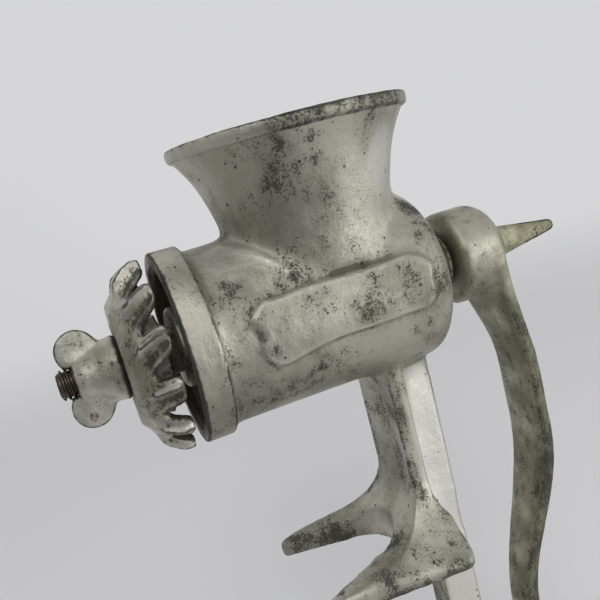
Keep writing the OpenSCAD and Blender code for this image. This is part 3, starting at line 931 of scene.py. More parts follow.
class Skin:
    """The points of a dense mesh with the means to smooth them.

    Attributes:
        mesh: the mesh.
        count: number of its points.
        points: places of the points, in millimetres.
        edges: the two points of each edge.
        degree: number of edges at each point.
        triangles: the three points of each triangle.
    """

    def __init__(self, mesh: bpy.types.Mesh) -> None:
        """Reads the mesh.

        Args:
            mesh: a dense closed mesh, in metres.
        """
        self.mesh = mesh
        self.count = len(mesh.vertices)
        points = np.empty(self.count * 3)
        mesh.vertices.foreach_get("co", points)
        self.points = points.reshape(-1, 3) / MM
        edges = np.empty(len(mesh.edges) * 2, np.int32)
        mesh.edges.foreach_get("vertices", edges)
        self.edges = edges.reshape(-1, 2)
        self.degree = np.maximum(np.bincount(edges, minlength=self.count), 1)
        mesh.calc_loop_triangles()
        corners = np.empty(len(mesh.loop_triangles) * 3, np.int32)
        mesh.loop_triangles.foreach_get("vertices", corners)
        self.triangles = corners.reshape(-1, 3)

    def mean_around(self, values: np.ndarray) -> np.ndarray:
        """Mean of the neighbours' values at each point.

        Args:
            values: one value or row of values for each point.

        Returns:
            The means, in the same order.
        """
        columns = values.reshape(self.count, -1)
        total = np.empty_like(columns)
        first, second = self.edges.T
        for k in range(columns.shape[1]):
            total[:, k] = np.bincount(first, columns[second, k], self.count)
            total[:, k] += np.bincount(second, columns[first, k], self.count)
        return (total / self.degree[:, None]).reshape(values.shape)

    def normals(self) -> np.ndarray:
        """Outward directions at the points.

        Returns:
            One unit vector for each point.
        """
        a, b, c = (self.points[self.triangles[:, k]] for k in range(3))
        facing = np.cross(b - a, c - a)
        total = np.zeros_like(self.points)
        for corner in range(3):
            for k in range(3):
                total[:, k] += np.bincount(self.triangles[:, corner], facing[:, k], self.count)
        return total / np.maximum(np.linalg.norm(total, axis=1), 1e-12)[:, None]

    def fill_corners(self, steps: int, free: np.ndarray) -> None:
        """Fills inner corners as a casting has them, and leaves outer edges.

        Args:
            steps: how many small steps are taken.
            free: how freely each point moves, from 0 to 1.
        """
        refresh, stride = 5, 0.6
        for step in range(steps):
            if step % refresh == 0:
                normal = self.normals()
            pull = ((self.mean_around(self.points) - self.points) * normal).sum(axis=1)
            self.points += (stride * free * np.clip(pull, 0, None))[:, None] * normal

    def polish(self, steps: int, free: np.ndarray) -> None:
        """Rounds every edge a little.

        Args:
            steps: how many small steps are taken.
            free: how freely each point moves, from 0 to 1.
        """
        stride = 0.5
        for _ in range(steps):
            self.points += stride * free[:, None] * (self.mean_around(self.points) - self.points)

    def dent(self, depth: float, size: float, free: np.ndarray) -> None:
        """Makes the skin uneven.

        Args:
            depth: greatest depth of a dent.
            size: distance between dents.
            free: how freely each point moves, from 0 to 1.
        """
        heights = np.array([noise.noise(Vector(p) / size) for p in self.points])
        self.points += (depth * heights * free)[:, None] * self.normals()

    def mark(self, name: str, values: np.ndarray) -> None:
        """Keeps a value at each point for the material.

        Args:
            name: the attribute's name.
            values: one number for each point.
        """
        attribute = self.mesh.attributes.new(name, "FLOAT", "POINT")
        attribute.data.foreach_set("value", values.astype(np.float32))

    def mark_bends(self, spacing: float, widen: int) -> None:
        """Marks outer edges and inner corners.

        Args:
            spacing: distance between points.
            widen: how many times the marks spread to their neighbours.
        """
        edge_from, edge_span, hollow_from, hollow_span = 0.035, 0.16, 0.012, 0.09
        pull = ((self.mean_around(self.points) - self.points) * self.normals()).sum(axis=1)
        bend = -pull / spacing**2
        for _ in range(widen):
            bend = self.mean_around(bend)
        self.mark("edge", np.clip((bend - edge_from) / edge_span, 0, 1))
        self.mark("hollow", np.clip((-bend - hollow_from) / hollow_span, 0, 1))

    def write(self) -> None:
        """Writes the points back to the mesh and shades it smooth."""
        self.mesh.vertices.foreach_set("co", (self.points * MM).ravel())
        self.mesh.polygons.foreach_set("use_smooth", [True] * len(self.mesh.polygons))
        self.mesh.update()


@dataclass
class Casting:
    """Makes one cast skin of a closed shape or of several that overlap.

    Attributes:
        voxel: distance between the skin's points.
        fillet_steps: how far inner corners are filled.
        polish_steps: how far edges are rounded.
        dents: depth and size of each kind of dent.
        bores: machined holes, which stay as they are.
        widen: how far edge marks spread.
    """

    voxel: float
    fillet_steps: int = 30
    polish_steps: int = 2
    dents: Sequence[tuple[float, float]] = ((0.10, 9.0), (0.05, 2.6))
    bores: Sequence[Bore] = ()
    widen: int = 2

    def cast(
        self,
        source: bpy.types.Mesh,
        name: str,
        freedom: Callable[[np.ndarray], np.ndarray] | None = None,
        shape: Callable[[Skin], None] | None = None,
    ) -> bpy.types.Mesh:
        """Makes the skin.

        Args:
            source: closed mesh in metres.
            name: name of the new mesh.
            freedom: gives how freely the corners at given points are filled.
            shape: shapes the skin once its corners are filled.

        Returns:
            The finished mesh.
        """
        host = bpy.data.objects.new(name, source)
        bpy.context.scene.collection.objects.link(host)
        remesh = host.modifiers.new("voxels", "REMESH")
        remesh.mode = "VOXEL"
        remesh.voxel_size = self.voxel * MM
        evaluated = host.evaluated_get(bpy.context.evaluated_depsgraph_get())
        mesh = bpy.data.meshes.new_from_object(evaluated)
        mesh.name = name
        bpy.data.objects.remove(host)
        bpy.data.meshes.remove(source)
        skin = Skin(mesh)
        free = np.ones(skin.count)
        for bore in self.bores:
            free[bore.wall(skin.points)[0]] = 0
        skin.fill_corners(self.fillet_steps, free * (freedom(skin.points) if freedom else 1))
        if shape:
            shape(skin)
        skin.polish(self.polish_steps, free)
        for depth, size in self.dents:
            skin.dent(depth, size, free)
        for bore in self.bores:
            bore.true(skin.points)
        skin.mark_bends(self.voxel, self.widen)
        skin.write()
        return mesh


def cad_copy(node: str, change: Callable[[np.ndarray], None] | None = None) -> bpy.types.Mesh:
    """Copies a CAD node's mesh and merges its loose triangles.

    Args:
        node: the node's name.
        change: changes the copy's points, in millimetres, in place.

    Returns:
        The closed copy, in metres.
    """
    mesh = bpy.data.objects[node].data.copy()
    work = bmesh.new()
    work.from_mesh(mesh)
    bmesh.ops.remove_doubles(work, verts=work.verts, dist=0.002 * MM)
    if change:
        points = np.array([v.co for v in work.verts]) / MM
        change(points)
        for vertex, point in zip(work.verts, points):
            vertex.co = Vector(point * MM)
    work.to_mesh(mesh)
    work.free()
    mesh.materials.clear()
    return mesh


# Pieces


@dataclass
class Piece:
    """A finished mesh with the body, slot and nodes that it belongs to.

    Attributes:
        name: the piece's name.
        mesh: its mesh.
        body: the body that it rides on.
        slot: its material slot.
        material: its finish.
        nodes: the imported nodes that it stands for, if any.
    """

    name: str
    mesh: bpy.types.Mesh
    # slot: its material slot; not used.
    body: Body
    slot: Slot
    material: bpy.types.Material
    nodes: Sequence[str] = ()

    def settle(self) -> None:
        """Adds the piece to the scene and makes it ride on its body."""
        self.mesh.materials.clear()
        self.mesh.materials.append(self.material)
        thing = bpy.data.objects.new(self.name, self.mesh)
        bpy.context.scene.collection.objects.link(thing)
        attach(thing, self.body.value)
        if self.nodes:
            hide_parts(*self.nodes)
        LOG.info("%s: %d faces on %s", self.name, len(self.mesh.polygons), self.body.value)


def sharpened(mesh: bpy.types.Mesh, spacing: float = 1.0) -> bpy.types.Mesh:
    """Shades a turned mesh smooth but for its sharp edges, and marks its bends.

    Args:
        mesh: the mesh.
        spacing: typical distance between its points.

    Returns:
        The same mesh.
    """
    crease = math.radians(32)
    skin = Skin(mesh)
    skin.mark_bends(spacing, 1)
    skin.write()
    mesh.set_sharp_from_angle(angle=crease)
    return mesh


@dataclass
class Layout:
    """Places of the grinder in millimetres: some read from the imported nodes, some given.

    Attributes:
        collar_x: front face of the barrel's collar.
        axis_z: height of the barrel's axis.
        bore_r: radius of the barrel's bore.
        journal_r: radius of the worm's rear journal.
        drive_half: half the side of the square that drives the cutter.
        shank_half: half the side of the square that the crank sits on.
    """

    collar_x: float = field(init=False)
    axis_z: float = field(init=False)
    bore_r: float = 25.3
    journal_r: float = 8.0
    drive_half: float = 6.5
    shank_half: float = 5.4

    def __post_init__(self) -> None:
        """Reads the boxes of the nodes."""
        self.collar_x = self.low("body").x
        self.axis_z = self.middle("thrust_washer").z

    @staticmethod
    def low(node: str) -> Vector:
        """Lowest corner of a node."""
        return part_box(node)[0] / MM

    @staticmethod
    def high(node: str) -> Vector:
        """Highest corner of a node."""
        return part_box(node)[1] / MM

    @staticmethod
    def middle(node: str) -> Vector:
        """Middle of a node's box."""
        low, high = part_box(node)
        return (low + high) / 2 / MM

    def on_axis(self, shell: Shell, along: float = 0) -> Shell:
        """Puts a shape drawn about X onto the barrel's axis, along behind the collar's face."""
        return shell.moved(self.collar_x + along, 0, self.axis_z)


# Places of the body drawn paler (below 0) or darker (above 0) than the rest: mostly painted shade and painted
# highlight where light falls, with some real wear and rust
BODY_TONES = (
    # The hopper: a painted dark reflection in the middle of each side, painted highlights on both flanks
    Zone((-21, -28, 133), (12, 10, 20), 0.85),
    Zone((-2, -31, 131), (5, 10, 19), -0.25),
    Zone((9, -26, 136), (8, 9, 16), -0.75),
    Zone((-40, -8, 140), (9, 14, 12), -0.25),
    Zone((-20, -26, 122), (8, 8, 6), -0.6),
    # The barrel: a painted highlight behind the collar, painted shade below, speckled round the dome
    Zone((-42, -14, 118), (12, 13, 9), -0.8),
    Zone((-28, -20, 72), (34, 12, 9), 0.25),
    Zone((12, -28, 92), (8, 5, 9), 0.3),
    Zone((19, -18, 112), (9, 14, 14), 0.1),
    Zone((19.5, -17.5, 119), (4.2, 5.0, 3.6), 1.3, False),
    # The leg: painted shade on its front and on the spine's front below the table, a darker near edge,
    # painted highlights on the spine's sides and the plate's lip, dark foot
    Zone((0, 0, 38), (4, 12, 30), 1.1),
    Zone((1.5, -13.2, 42), (2.4, 2.2, 30), 1.3),
    Zone((13, -6.5, -20), (8, 2.6, 90), -2.4),
    Zone((4.5, -13.4, 36), (1.6, 2.0, 22), -0.7),
    Zone((-14, -22, 8), (14, 12, 9), 0.6),
    Zone((6, -22, 8), (9, 10, 8), -0.5),
    Zone((-6, -27, 0.6), (26, 11, 2.2), 1.2),
    Zone((7, -17, 0.4), (13, 12, 2.6), 1.3),
    Zone((5.8, 0, -33), (1.8, 9, 32), 1.5),
    Zone((-31, -17, 5), (15, 9, 6), 0.9),
)
# Tones of the hopper's rim, darker along its near side and paler towards the outlet; and of the collar's
# ring, with a painted highlight on its top and painted shade on its front face
RIM_TONES = (
    Zone((8, -36, 153), (16, 14, 5), 0.8), Zone((-14, -38, 153), (11, 8, 5), 1.0),
    Zone((-36, -22, 152), (12, 16, 5), -0.9),
)
COLLAR_TONES = (Zone((-57, 0, 108), (9, 42, 24), -0.45), Zone((-62.3, 0, 95.5), (0.8, 40, 40), 1.3, False))
# Rust where the dome meets the boss, on the near side alone: 0 is none and 1 is full
BODY_RUST = (
    Zone((18.6, -18.4, 120.6), (2.6, 3.0, 2.2), 0.8, False),
    Zone((21.6, -17.0, 116.8), (2.0, 3.0, 2.6), 0.8, False),
)


@dataclass
class Stand:
    """The cast body: barrel, hopper, leg with its foot, spine and lower jaw.

    Attributes:
        layout: places of the grinder.
        finishes: the materials.
        barrel_len: length of the barrel to its dome.
        barrel_r: radius of the barrel behind the collar.
        barrel_rear_r: radius of the barrel at the dome.
        collar_w: width of the collar.
        collar_r: radius of the collar.
        leg_half: half the width of the leg's plate.
        spine_half: half the width of the spine behind it.
        plate_hollow: depth of the hollow between the edges of the leg's front.
        longer_prongs: how much longer the prongs are drawn.
        plaque_outline: outline of the bare plaque on the near side, as places behind the
            collar's face and heights from the axis.
        plaque_rise: how far the plaque stands out.
        plaque_bevel: width of its sloping edge.
        seam: ridge that runs from the barrel's top to the plaque, in the part's frame.
        seam_rise: how far the ridge stands out.
        hopper_lead: distance of the hopper's centre in front of the origin.
        hopper_neck_r: radius of the hopper's inside at the barrel.
        hopper_flare: how much wider its inside is at the rim.
        screw_r: radius of the clamp screw's hole in the jaw.
    """

    layout: Layout
    finishes: Finishes
    barrel_len: float = 80.7
    barrel_r: float = 28.5
    barrel_rear_r: float = 29.5
    collar_w: float = 9.4
    collar_r: float = 31.0
    leg_half: float = 13.4
    spine_half: float = 6.5
    plate_hollow: float = 2.0
    longer_prongs: float = 2.6
    plaque_outline: tuple[tuple[float, float], ...] = (
        (24.2, 11.1), (18.6, 6.4), (21.4, 3.6), (22.5, 0.6), (19.7, -3.2), (25.0, -9.5), (33.7, -7.6),
        (43.8, -6.2), (61.5, -6.7), (70.1, -6.2), (74.4, -7.0), (79.1, -2.5), (77.4, 1.3), (79.0, 6.9),
        (72.9, 11.1), (59.2, 10.4), (37.8, 11.3), (27.8, 10.2),
    )
    plaque_rise: float = 1.3
    plaque_bevel: float = 1.1
    seam: tuple[tuple[float, float, float], ...] = (
        (-42.0, -9.5, 123.0), (-35.6, -16.0, 119.4), (-31.0, -20.6, 115.6), (-27.3, -23.8, 111.7)
    )
    seam_rise: float = 0.5
    hopper_lead: float = 8.6
    hopper_neck_r: float = 25.4
    hopper_flare: float = 12.1
    screw_r: float = 6.35

    def freedom(self, points: np.ndarray) -> np.ndarray:
        """How freely inner corners fill: round the hopper and the leg, tight at the collar and boss.

        Args:
            points: the skin's points.

        Returns:
            A number from 0 to 1 for each point.
        """
        x, y, z = points.T
        along, height = x - self.layout.collar_x, z - self.layout.axis_z
        off_collar = ease((along - self.collar_w - 1.5) / 6)
        off_dome = 1 - ease((along - self.barrel_len - 2) / 5)
        hopper = ease((height - 2) / 14) * off_collar * off_dome
        under = ease((-height - 21) / 5) * (1 - ease((-height - 42) / 10)) * (np.abs(y) < 22) * off_collar
        leg = ease((-height - 42) / 8)
        return np.clip(0.04 + 0.30 * hopper + 0.9 * under * off_dome + 0.40 * leg, 0, 1)

    def shape_skin(self, skin: Skin) -> None:
        """Shapes the casting where its corners alone don't.

        Args:
            skin: the body's skin.
        """
        self.hollow_plate(skin)
        self.round_foot(skin)
        self.stretch_prongs(skin)
        plaque = self.raise_plaque(skin)
        self.make_room(skin)
        near_seam = self.raise_seam(skin)
        # The tone: the zones' painted shade and painted highlight with some real wear and rust, a painted
        # highlight along the seam, and the plaque's own
        tone = zone_values(BODY_TONES, skin.points) - 0.9 * near_seam + plaque
        skin.mark("tone", np.clip(tone, -1.2, 1.4))
        skin.mark("rusty", zone_values(BODY_RUST, skin.points))
        self.mark_inside(skin)
        self.roughen_spine(skin)

    @staticmethod
    def round_foot(skin: Skin) -> None:
        """Rounds the foot, whose edges are softer than the others.

        Args:
            skin: the body's skin.
        """
        z = skin.points[:, 2]
        skin.polish(9, (1 - ease((z - 6) / 8)) * (z > -3))

    def roughen_spine(self, skin: Skin) -> None:
        """Makes the spine's two sides grainy, as they were cast.

        Args:
            skin: the body's skin.
        """
        x, y, z = skin.points.T
        sides = (np.abs(np.abs(y) - self.spine_half) < 0.8) & (x > 7) & (z < 72)
        skin.dent(0.10, 1.3, sides.astype(float))

    def hollow_plate(self, skin: Skin) -> None:
        """Hollows the leg's front between its two edges.

        Args:
            skin: the body's skin.
        """
        x, y, z = skin.points.T
        facing = np.clip(-skin.normals()[:, 0] - 0.55, 0, None) / 0.45
        across = np.clip(1 - (y / (self.leg_half - 2.2)) ** 2, 0, 1) ** 0.5
        along = ease((z - 12) / 14) * (1 - ease((z - 62) / 6)) * (np.abs(x) < 6)
        skin.points[:, 0] += self.plate_hollow * facing * across * along

    def stretch_prongs(self, skin: Skin) -> None:
        """Draws the foot's two prongs a little longer.

        Args:
            skin: the body's skin.
        """
        x, _, z = skin.points.T
        low = (1 - ease((z - 10) / 6)) * (z > -3)
        skin.points[:, 0] -= self.longer_prongs * ease((-22 - x) / 19) * low

    def raise_plaque(self, skin: Skin) -> np.ndarray:
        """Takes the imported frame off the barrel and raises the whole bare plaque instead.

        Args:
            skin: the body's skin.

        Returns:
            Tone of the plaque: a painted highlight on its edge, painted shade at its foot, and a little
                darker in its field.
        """
        outline, broken = np.array(self.plaque_outline), 0.2
        after = np.roll(outline, -1, axis=0)
        corners = [(1 - broken) * outline + broken * after, broken * outline + (1 - broken) * after]
        outline = np.stack(corners, axis=1).reshape(-1, 2)
        x, y, z = skin.points.T
        flat = np.stack([x - self.layout.collar_x, z - self.layout.axis_z], axis=1)
        radius = np.hypot(y, flat[:, 1])
        wanted = self.barrel_r + (self.barrel_rear_r - self.barrel_r) * flat[:, 0] / self.barrel_len
        low, high = outline.min(axis=0) - 2, outline.max(axis=0) + 2
        near = (y < 0) & (flat > low).all(axis=1) & (flat < high).all(axis=1)
        near &= np.abs(radius - wanted - 0.3) < 1.6
        depth = depth_inside(outline, flat[near])
        rise = self.plaque_rise * ease((depth + 0.5) / self.plaque_bevel)
        scale = np.ones(skin.count)
        below = ease((4 - np.abs(flat[near][:, 1])) / 3) * (rise == 0)
        ground = np.where(below > 0, np.minimum(wanted[near], radius[near]), wanted[near])
        scale[near] = (ground + rise) / np.maximum(radius[near], 1)
        skin.points[:, 1] *= scale
        skin.points[:, 2] = self.layout.axis_z + flat[:, 1] * scale
        tone = np.zeros(skin.count)
        # Painted shade at the foot of the plaque's edge, a painted highlight on the edge, and a darker field
        foot, edge, inner = bell(depth + 0.9, 0.5), bell(depth - 0.7, 0.8), ease((depth - 1.5) / 1.5)
        tone[near] = 0.25 * foot - 0.7 * edge + 0.25 * inner
        return tone

    def raise_seam(self, skin: Skin) -> np.ndarray:
        """Raises the seam between the hopper's fillet and the barrel.

        Args:
            skin: the body's skin.

        Returns:
            How near each point lies to the seam, from 0 to 1.
        """
        place = skin.points.copy()
        place[:, 1] = -np.abs(place[:, 1])
        distance = path_distance(np.array(self.seam), place)
        skin.points += (self.seam_rise * bell(distance, 2.2))[:, None] * skin.normals()
        return bell(distance, 0.9)

    def make_room(self, skin: Skin) -> None:
        """Draws the skin in under the collar's ring and the hopper's rim, which are pieces of their own.

        Args:
            skin: the body's skin.
        """
        x, y, z = skin.points.T
        top = self.layout.high("body").z
        height = z - self.layout.axis_z
        radius = np.hypot(y, height)
        collar = (x < self.layout.collar_x + self.collar_w - 0.3) & (radius > self.barrel_r)
        scale = np.where(collar, np.minimum(radius, self.collar_r - 0.6) / np.maximum(radius, 1), 1)
        skin.points[:, 1] *= scale
        skin.points[:, 2] = self.layout.axis_z + height * scale
        skin.points[:, 0] = np.maximum(x, self.layout.collar_x + 0.5)
        flat = skin.points[:, :2] + np.array([self.hopper_lead, 0])
        out = np.hypot(*flat.T)
        rim_depth, rim_r, inset = 3.4, 38, 0.5
        rim = (z > top - rim_depth) & (out > rim_r)
        skin.points[rim, :2] -= flat[rim] * (inset / out[rim])[:, None]
        skin.points[:, 2] = np.minimum(skin.points[:, 2], top - 0.3)

    def mark_inside(self, skin: Skin) -> None:
        """Marks the walls of the barrel's bore and of the hopper's inside.

        Args:
            skin: the body's skin.
        """
        x, y, z = skin.points.T
        height = z - self.layout.axis_z
        bore = (np.hypot(y, height) < self.layout.bore_r + 1.2) & (x > self.layout.collar_x + 0.6)
        # The barrel's rear wall shows from behind, and only its front side is an inside
        bore &= (x < 20) | (skin.normals()[:, 0] < 0.1)
        # The hopper's inside widens most near its mouth
        rise = ease((height - 25) / 34) * 0.55 + ease((height - 35) / 24) ** 2 * 0.42
        throat = np.hypot(x + self.hopper_lead, y) < self.hopper_neck_r + self.hopper_flare * rise
        throat &= (height > 20) & (height < 57)
        skin.mark("inside", (bore | throat).astype(float))

    def casting(self) -> None:
        """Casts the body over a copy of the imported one."""
        place = self.layout
        barrel = (0.0, place.axis_z)
        rear = place.collar_x + self.barrel_len
        pad = place.middle("clamp_pad")
        jaw = place.low("body").z
        bores = (
            Bore(Way.ALONG_BARREL, barrel, place.bore_r, place.collar_x + 1.6, rear + 2.6),
            Bore(Way.ALONG_BARREL, barrel, place.journal_r, rear + 3.4, rear + 30),
            Bore(Way.UPWARDS, (pad.x, pad.y), self.screw_r, jaw - 1, jaw + 17),
        )
        mould = Casting(0.94, 150, 1, dents=((0.10, 12.0), (0.05, 3.2)), bores=bores)
        mesh = mould.cast(cad_copy("body"), "body_casting", self.freedom, self.shape_skin)
        Piece("body_casting", mesh, Body.STAND, Slot.TINNED, self.finishes.tinned, ["body"]).settle()

    def collar(self) -> None:
        """Turns the collar's crisp ring over the casting."""
        bore, outer, width = self.layout.bore_r, self.collar_r, self.collar_w
        profile = [
            (1.2, bore), (0.0, bore + 1.1), (0.0, outer - 0.5), (0.4, outer), (width - 0.8, outer),
            (width - 0.2, outer - 0.5), (width, outer - 1.1), (width, bore),
        ]
        wall = Bore(
            Way.ALONG_BARREL, (0.0, self.layout.axis_z), bore, self.layout.collar_x + 1.3,
            self.layout.collar_x + width + 1, play=0.0,
        )
        mould = Casting(0.42, 2, 1, dents=((0.10, 11.0), (0.05, 2.4)), bores=(wall,), widen=1)
        form = self.layout.on_axis(turned(profile, 192, True)).mesh("collar_form")

        def mark(skin: Skin) -> None:
            """Marks a painted highlight on the top, painted shade on the front face, and the dark inside.

            Args:
                skin: the collar's skin.
            """
            _, y, z = skin.points.T
            skin.mark("tone", zone_values(COLLAR_TONES, skin.points))
            skin.mark("inside", (np.hypot(y, z - self.layout.axis_z) < bore + 1.4).astype(float))

        mesh = mould.cast(form, "collar_ring", None, mark)
        Piece("collar_ring", mesh, Body.STAND, Slot.TINNED, self.finishes.tinned).settle()

    def rim(self) -> None:
        """Turns the bead round the hopper's mouth, whose lower edge stands proud."""
        top = self.layout.high("body").z
        profile = [
            (-4.4, 37.3), (-4.3, 38.4), (-3.7, 39.2), (-2.4, 39.55), (-1.0, 39.5), (-0.3, 39.2),
            (0.0, 38.6), (-0.1, 38.0), (-0.6, 37.5),
        ]
        ring = turned(profile, 192, True).laid(Way.UPWARDS).moved(-self.hopper_lead, 0, top)

        def mark(skin: Skin) -> None:
            """Marks the rim's dark stretches."""
            skin.mark("tone", 0.25 + zone_values(RIM_TONES, skin.points))

        mould = Casting(0.5, 0, 1, dents=((0.16, 8.0), (0.08, 2.2)), widen=1)
        mesh = mould.cast(ring.mesh("rim_form"), "hopper_rim", None, mark)
        Piece("hopper_rim", mesh, Body.STAND, Slot.TINNED, self.finishes.tinned).settle()

    def build(self) -> None:
        """Builds the body with its collar and rim."""
        self.casting()
        self.collar()
        self.rim()


@dataclass
class Rotor:
    """The worm with its stud and thrust washer, which turn together.

    Attributes:
        layout: places of the grinder.
        finishes: the materials.
        rib: the helical rib's tree.
        flight_pitch: pitch of the worm's flight.
        flight_r: outer radius of the flight.
        core_front_r: radius of the core at the front.
        core_rear_r: radius of the core at the rear.
        flange_r: radius of the flange that bears on the washer.
        flange_w: thickness of the flange.
        shank_len: length of the rear square.
        flight_root: thickness of the flight at its root.
        flight_edge: thickness of the flight at its edge.
        stud_pitch: pitch of the stud's thread.
        stud_threaded: length of the stud's thread.
        stud_proud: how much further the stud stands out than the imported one.
    """

    layout: Layout
    finishes: Finishes
    rib: NodeShape
    flight_pitch: float = 27.0
    flight_r: float = 24.8
    core_front_r: float = 13.0
    core_rear_r: float = 9.5
    flange_r: float = 13.0
    flange_w: float = 3.0
    shank_len: float = 19.5
    flight_root: float = 6.0
    flight_edge: float = 3.4
    stud_pitch: float = 1.5875
    stud_threaded: float = 26.0
    stud_proud: float = 1.4

    def worm(self) -> None:
        """Builds the worm: core, flight, flange, journal and the two squares."""
        place = self.layout
        low, high = place.low("worm").x - place.collar_x, place.high("worm").x - place.collar_x
        flange_high = place.low("thrust_washer").x - place.collar_x
        flange_low = flange_high - self.flange_w
        flight_low = self.flight_root / 2 + 1
        flight_high = flange_low - self.flight_root / 2
        t = np.linspace(0, 1, 17)
        radii = self.core_front_r + (self.core_rear_r - self.core_front_r) * ease(t)
        bevel, flange_r = 0.4, self.flange_r
        core = [(0.0, AXIS_R), (0.0, self.core_front_r - 1), (1.0, self.core_front_r)]
        core += list(zip(flight_low + (flight_high - flight_low) * t, radii))
        core += [(flange_low, self.core_rear_r), (flange_low, flange_r - bevel)]
        core += [(flange_low + bevel, flange_r), (flange_high, flange_r), (flange_high, place.journal_r)]
        shank_low = high - self.shank_len
        core += [(shank_low, place.journal_r), (shank_low, AXIS_R)]
        square_r, shank_r = square(place.drive_half), square(place.shank_half)
        drive = [(low, AXIS_R), (low, square(place.drive_half - bevel)), (low + bevel, square_r)]
        drive += [(1.0, square_r), (1.0, AXIS_R)]
        shank = [(shank_low - 1, AXIS_R), (shank_low - 1, shank_r), (high, shank_r), (high, AXIS_R)]
        inner = self.core_rear_r - 1
        height = self.flight_r - inner
        flight = self.rib.made({
            "Pitch": self.flight_pitch, "Turns": (flight_high - flight_low) / self.flight_pitch,
            "Radius": (self.flight_r + inner) / 2, "Root width": self.flight_root,
            "Edge width": self.flight_edge, "Height": height, "Steps per turn": 72,
            "Material": self.finishes.rubbed,
        })
        shell = joined([turned(core), turned(drive), turned(shank), flight.lowered().moved(flight_low)])
        mesh = sharpened(place.on_axis(shell).mesh("worm_casting"), 2.0)
        Piece("worm_casting", mesh, Body.ROTOR, Slot.RUBBED, self.finishes.rubbed, ["worm"]).settle()

    def stud(self) -> None:
        """Builds the threaded front stud."""
        place = self.layout
        low, high = place.low("front_stud"), place.high("front_stud")
        radius, length = (high.z - low.z) / 2, high.x - low.x + self.stud_proud
        profile, thread = threaded_rod(
            self.rib, radius, self.stud_pitch, self.stud_threaded, self.finishes.steel
        )
        core = [(0.0, AXIS_R)] + profile + [(self.stud_threaded, radius), (length, radius), (length, AXIS_R)]
        shell = joined([turned(core, 48), thread]).moved(low.x - self.stud_proud, 0, place.axis_z)
        mesh = sharpened(shell.mesh("threaded_stud"), 0.5)
        Piece("threaded_stud", mesh, Body.ROTOR, Slot.STEEL, self.finishes.steel, ["front_stud"]).settle()

    def build(self) -> None:
        """Builds the worm and the stud."""
        self.worm()
        self.stud()


def threaded_rod(
    rib: NodeShape, radius: float, pitch: float, length: float, material: bpy.types.Material
) -> tuple[list[tuple[float, Any]], Shell]:
    """Thread of a rod that starts at the origin and runs along X.

    Args:
        rib: the helical rib's tree.
        radius: outer radius of the thread.
        pitch: its pitch.
        length: its length.
        material: finish of the rod.

    Returns:
        The profile of the core under the thread, and the thread's rib.
    """
    depth, sunk, bevel = 0.52 * pitch, 0.3, 0.5
    root = radius - depth
    profile = [(0, root - bevel), (bevel, root), (length, root)]
    turn = rib.made({
        "Pitch": pitch, "Turns": (length - pitch) / pitch, "Radius": radius - (depth + sunk) / 2,
        "Root width": 0.94 * pitch, "Edge width": 0.2 * pitch, "Height": depth + sunk,
        "Steps per turn": 40, "Material": material,
    })
    return profile, turn.lowered().moved(pitch / 2)


